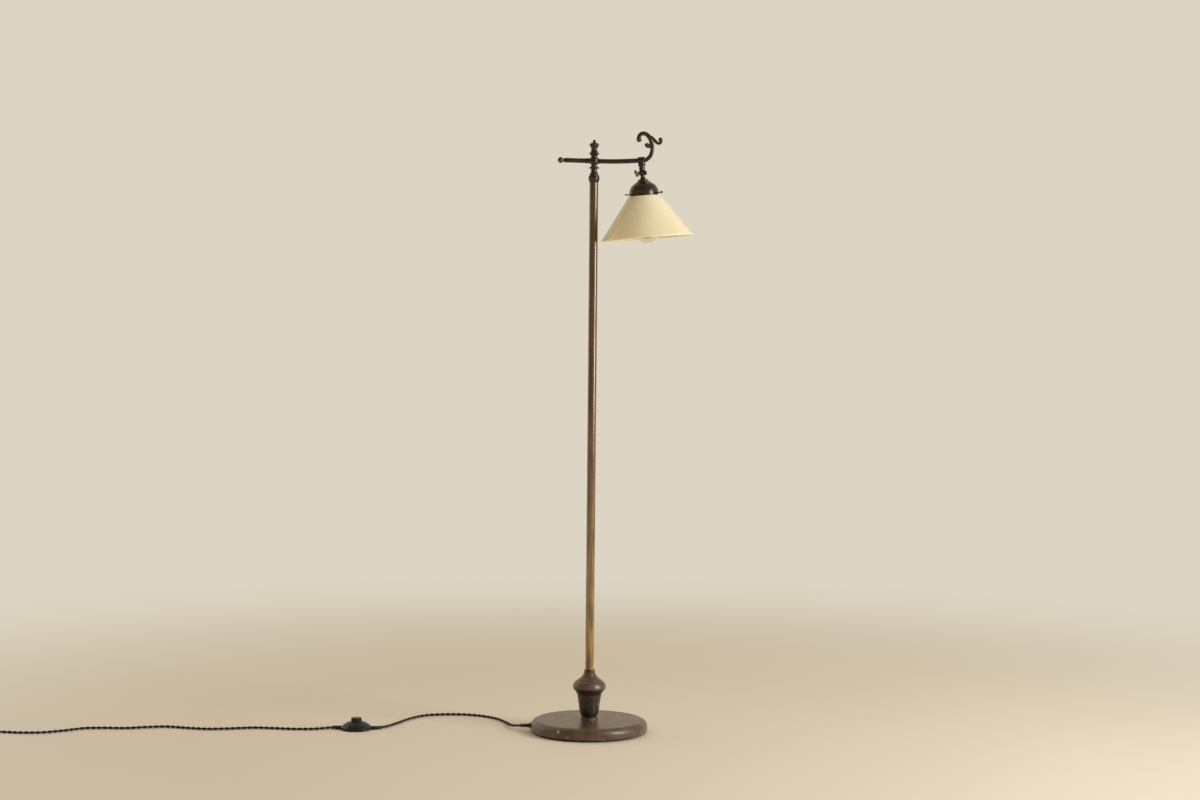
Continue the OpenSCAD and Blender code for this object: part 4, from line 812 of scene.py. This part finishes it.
def makeShade(spec, tree, finish):
    neck = [Vector(p) for p in spec["neck"]]
    curl, brow = (bend(*spec[part], spec["curlSteps"]) for part in ("curl", "brow"))
    start, rim = brow[-1], Vector(spec["rim"])
    rim = rim - (rim - start).normalized() * spec["glass"] / 2
    flare = [start.lerp(rim, i / spec["flareSteps"]) for i in range(1, spec["flareSteps"] + 1)]
    outline = walled(neck + curl + brow + flare, spec["glass"])
    shade = turnedPiece("shadeGlass", outline, tree, spec, finish, hanging)
    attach(shade, "shade")
    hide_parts("shade_glass")


# The clear globe of the bulb, with its neck in the socket; the neck flares out to meet the globe at 45 degrees
bulbSpec = {
    "radius": 30, "centre": -150.4, "neck": 12.9, "top": -97.2, "glass": 0.8, "neckLength": 6, "swell": 0.4,
    "swellHeight": 36, "join": 45, "flareSteps": 14, "globeStep": 3, "segments": 128,
}


def bulbLine(spec, inset):
    neck, radius, centre = spec["neck"] - inset, spec["radius"] - inset, Vector((0, spec["centre"]))
    join = centre + radius * Vector((1, 1)).normalized()
    low = neck, spec["top"] - spec["neckLength"]
    swell = neck + spec["swell"], spec["centre"] + spec["swellHeight"]
    turns = [math.radians(a) for a in range(spec["join"] - spec["globeStep"], -91, -spec["globeStep"])]
    globe = [centre + radius * Vector((math.cos(t), math.sin(t))) for t in turns]
    return [Vector((neck, spec["top"]))] + bend(low, swell, join, spec["flareSteps"]) + globe


def makeBulb(spec, tree, finish):
    outer = bulbLine(spec, 0)
    outline = outer + bulbLine(spec, spec["glass"])[::-1] + outer[:1]
    bulb = turnedPiece("bulbGlobe", outline, tree, spec, finish, hanging)
    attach(bulb, "shade")
    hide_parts("bulb_glass")


# The foot switch's domed cover and its button, which slides in the cover's hole; points are (radius, height)
switchSpec = {
    "rim": [(12.1, 18.2), (14.1, 18.2)], "crown": [(15.1, 18.1), (26.5, 13.8), (31.5, 8.6)],
    "skirt": [(32.1, 8.1), (34.5, 6.4), (34.5, 4.9)], "foot": (34.5, 4.1), "wall": 2.0,
    "buttonTop": (0, 26.9), "buttonEdge": [(9.9, 26.8), (11.7, 26.7), (11.7, 25.1)],
    "buttonSide": [(11.7, 12.2), (14.1, 12.2), (14.1, 10.4), (6.5, 10.4), (6.5, 19.5), (0, 19.5)],
    "crownSteps": 12, "edgeSteps": 6, "segments": 96,
}


def makeSwitch(spec, tree, finish):
    standing = Matrix.Translation(lamp["switchSpot"])
    crown = [Vector(p) for p in spec["rim"]] + bend(*spec["crown"], spec["crownSteps"])
    skirt = bend(*spec["skirt"], spec["edgeSteps"]) + [Vector(spec["foot"])]
    cover = turnedPiece("switchCover", walled(crown + skirt, spec["wall"]), tree, spec, finish, standing)
    outline = [spec["buttonTop"], *bend(*spec["buttonEdge"], spec["edgeSteps"]), *spec["buttonSide"]]
    button = turnedPiece("switchButton", outline, tree, spec, finish, standing)
    for piece, body, node in ((cover, "stand", "switch_cover"), (button, "button", "switch_button")):
        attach(piece, body)
        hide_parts(node)
    return cover, button


# The cast scroll: a stem that curls over and two tendrils, each with a rolled tip; lines are (across, up), and
# widths are shares of the root's at shares of a line's length
scrollSpec = {
    "root": 10.4, "flat": 0.82, "sides": 14, "steps": 8, "grain": 0.5 * mm, "softening": 0.5, "softRounds": 4,
    "tip": 1.16, "tipSides": 20, "tipRings": 12,
    "stem": [(7.8, 0), (9.35, 0), (13.4, 2), (19, 6.5), (22.8, 13.3), (25, 20.3), (25.8, 27.8), (25, 35.3),
             (23.2, 43.3), (20.4, 49.8), (15.9, 54.9), (10.2, 58), (4.5, 57.4), (0.2, 54.2), (-2, 49.7),
             (-1.6, 45.4)],
    "stemWidths": [(0, 0.94), (0.2, 0.88), (0.36, 0.84), (0.5, 0.92), (0.62, 0.96), (0.8, 0.84), (0.92, 0.86),
                   (1, 0.98)],
    "outer": [(18.8, 52.2), (22.9, 49.9), (27.6, 45.6), (32.4, 40.4), (36.5, 35.8), (40.6, 33.4), (44.8, 35),
              (46.5, 38.6), (45, 41.6)],
    "outerWidths": [(0, 0.6), (0.25, 0.78), (0.6, 0.62), (0.85, 0.62), (1, 0.8)],
    "inner": [(24.8, 38.2), (23.8, 35), (22, 31.8), (19.6, 29), (17, 28.2), (15, 29.8), (14.3, 32)],
    "innerWidths": [(0, 0.6), (0.3, 0.74), (0.7, 0.62), (1, 0.82)],
}


def between(table, share):
    for (low, first), (high, second) in zip(table, table[1:]):
        if share <= high:
            return first + (second - first) * (share - low) / (high - low)
    return table[-1][1]


def tendril(shape, spec, line, widths):
    path = smooth([Vector((x, 0, z)) for x, z in line], spec["steps"])
    radii = [between(widths, i / (len(path) - 1)) * spec["root"] / 2 for i in range(len(path))]
    turns = [2 * math.pi * k / spec["sides"] for k in range(spec["sides"])]
    across = Vector((0, spec["flat"], 0))
    rings = []
    for i, (point, radius) in enumerate(zip(path, radii)):
        ahead = (path[min(i + 1, len(path) - 1)] - path[max(i - 1, 0)]).normalized()
        out = Vector((ahead.z, 0, -ahead.x))
        rings.append([shape.verts.new(point + radius * (out * math.cos(t) + across * math.sin(t))) for t in turns])
    skin(shape, rings)
    shape.faces.new(rings[0])
    shape.faces.new(rings[-1][::-1])
    tip = bmesh.ops.create_uvsphere(
        shape, u_segments=spec["tipSides"], v_segments=spec["tipRings"], radius=radii[-1] * spec["tip"])
    bmesh.ops.translate(shape, verts=tip["verts"], vec=path[-1])


def makeScroll(spec, finish):
    shape = bmesh.new()
    for part in ("stem", "outer", "inner"):
        tendril(shape, spec, spec[part], spec[part + "Widths"])
    bmesh.ops.recalc_face_normals(shape, faces=shape.faces)
    shape.transform(Matrix.Scale(mm, 4))
    scroll = shapeObject("castScroll", shape)
    melt = scroll.modifiers.new("melt", "REMESH")
    melt.mode, melt.voxel_size, melt.use_smooth_shade = "VOXEL", spec["grain"], True
    soften = scroll.modifiers.new("soften", "SMOOTH")
    soften.factor, soften.iterations = spec["softening"], spec["softRounds"]
    settle(scroll)
    scroll.data.transform(hanging)
    scroll.data.materials.clear()
    scroll.data.materials.append(finish)
    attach(scroll, "arm")
    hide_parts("scroll")


# Three knurled screws that hold the glass: a pin, a head with ridges round it and a dished end
screwSpec = {
    "places": (-32, -152, 88), "height": -73.45 * mm, "start": 27.5 * mm, "reach": 46.3 * mm, "pin": 1.6 * mm,
    "head": 2.5 * mm, "headLength": 3.4 * mm, "ridges": 18, "ridge": 0.22 * mm, "sharp": 35,
}


def screwTree():
    tree, given = newTree("knurledScrews", ["start", "reach", "pin", "head", "headLength", "ridge"], ["ridges"])
    barWidth, barLength, endWidth, endDepth, endIn = 1.6, 0.8, 0.72, 0.5 * mm, 0.1 * mm

    def laid(part, distance):
        # Lays an upright part along X and moves it out from the axis
        spot = output(tree, "ShaderNodeCombineXYZ", {0: distance})
        return output(tree, "GeometryNodeTransform", {
            "Geometry": part, "Translation": spot, "Rotation": (0, math.pi / 2, 0)})

    def rod(sides, radius, depth, bands=1):
        return output(tree, "GeometryNodeMeshCylinder", {
            "Vertices": sides, "Side Segments": bands, "Radius": radius, "Depth": depth})

    length = maths(tree, "SUBTRACT", given["reach"], given["start"])
    slim = maths(tree, "SUBTRACT", given["head"], given["ridge"])
    back = maths(tree, "SUBTRACT", given["reach"], times(tree, given["headLength"], 0.5))
    circle = output(tree, "GeometryNodeMeshCircle", {"Vertices": given["ridges"], "Radius": slim})
    long = times(tree, given["headLength"], barLength)
    bar = rod(6, times(tree, given["ridge"], barWidth), long)
    ridged = output(tree, "GeometryNodeInstanceOnPoints", {"Points": circle, "Instance": bar})
    end = rod(40, times(tree, given["head"], endWidth), endDepth)
    screw = put(tree, "GeometryNodeJoinGeometry")
    for part in (laid(end, maths(tree, "SUBTRACT", given["reach"], endIn)), laid(ridged, back),
                 laid(rod(40, slim, given["headLength"], 4), back),
                 laid(rod(24, given["pin"], length), maths(tree, "MULTIPLY_ADD", length, 0.5, given["start"]))):
        tree.links.new(part, screw.inputs[0])
    spot = output(tree, "GeometryNodeInputPosition")
    level = output(tree, "ShaderNodeVectorMath", {0: spot, 1: (1, 1, 0)}, operation="MULTIPLY")
    facing = output(tree, "FunctionNodeAlignRotationToVector", {"Vector": level}, axis="X", pivot_axis="Z")
    spread = output(tree, "GeometryNodeInstanceOnPoints", {
        "Points": given["Geometry"], "Instance": screw.outputs[0], "Rotation": facing})
    inward = output(tree, "ShaderNodeVectorMath", {0: level, 1: (-1, -1, 0)}, operation="MULTIPLY")
    centred = output(tree, "GeometryNodeTranslateInstances", {
        "Instances": spread, "Translation": inward, "Local Space": False})
    return closeTree(tree, centred, given["Material"])


def makeScrews(spec, finish):
    # Each place is a point a metre out from the hanging axis, and its screw is set back to the axis
    turns = [math.radians(a) for a in spec["places"]]
    screws = lineObject("glassScrews", [Vector((math.cos(a), math.sin(a), spec["height"])) for a in turns])
    grow(screws, screwTree(), spec, finish)
    screws.data.transform(hanging)
    screws.data.set_sharp_from_angle(angle=math.radians(spec["sharp"]))
    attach(screws, "shade")
    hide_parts("thumbscrews")


finishes = {
    "bronze_paint": bronzeFinish("darkBronze", bronzeSpec),
    "brown_paint": brownFinish("brownLacquer", brownSpec),
    "pole_brass": poleFinish(poleSpec),
    "worn_brass": metalFinish("wornBrass", (0.21, 0.13, 0.055), (0.060, 0.036, 0.018), (0.26, 0.46)),
    "socket_brass": metalFinish("socketBrass", (0.62, 0.46, 0.22), (0.34, 0.22, 0.09), (0.2, 0.4)),
    "zinc_steel": metalFinish("zincSteel", (0.55, 0.56, 0.57), (0.36, 0.36, 0.35), (0.25, 0.45)),
    "iron": ironFinish(ironSpec),
    "felt": feltFinish(feltSpec),
    "cream_glass": opalFinish(opalSpec),
    "clear_glass": clearFinish(clearSpec),
    "bulb_metal": metalFinish("bulbMetal", (0.66, 0.66, 0.66), (0.45, 0.45, 0.44), (0.2, 0.38)),
    "filament_gold": filamentFinish(filamentSpec),
    "black_phenolic": mouldedFinish("blackResin", (0.006, 0.007, 0.006), (0.017, 0.020, 0.015), (0.22, 0.36)),
    "black_insulation": mouldedFinish("wireSleeve", (0.018, 0.017, 0.016), (0.05, 0.048, 0.045), (0.4, 0.6)),
    "brown_fibre": fibreFinish(fibreSpec),
    "black_strap": coilStrap.data.materials[0],
    "cloth_cord": clothMaterial,
}
# Three pieces look different from the others of their slot
vaseSpec = {
    **brownSpec, "deep": (0.020, 0.010, 0.006), "body": (0.040, 0.021, 0.011), "warm": (0.064, 0.034, 0.018),
    "chips": [((0.0046, -0.0245, 0.084), 2.2 * mm), ((0.0200, -0.0114, 0.064), 2.4 * mm)],
}
wornSpec = {
    **bronzeSpec, "deep": (0.035, 0.022, 0.013), "body": (0.085, 0.054, 0.030), "warm": (0.16, 0.10, 0.055),
    "rubbed": (0.36, 0.27, 0.16),
}
ownFinishes = {
    "pole_collar": bronzeFinish("wornBronze", wornSpec, 0.45, 0.8),
    "seat_ring": metalFinish("rubbedRing", (0.24, 0.18, 0.12), (0.14, 0.10, 0.065), (0.45, 0.6)),
    "vase_body": brownFinish("vaseLacquer", vaseSpec),
}
for name, node in nodes.items():
    slot = node.material_slots[0]
    slot.material = ownFinishes.get(name) or finishes[slot.material.name.split(".")[0]]
print("finishes on", len(nodes), "nodes")

outlineTree = turnedTree()
makeShade(shadeSpec, outlineTree, finishes["cream_glass"])
makeScroll(scrollSpec, finishes["bronze_paint"])
makeScrews(screwSpec, finishes["bronze_paint"])
makeBulb(bulbSpec, outlineTree, finishes["clear_glass"])
switchCover, switchButton = makeSwitch(switchSpec, outlineTree, finishes["black_phenolic"])
print("shade, scroll, screws, bulb and switch made")
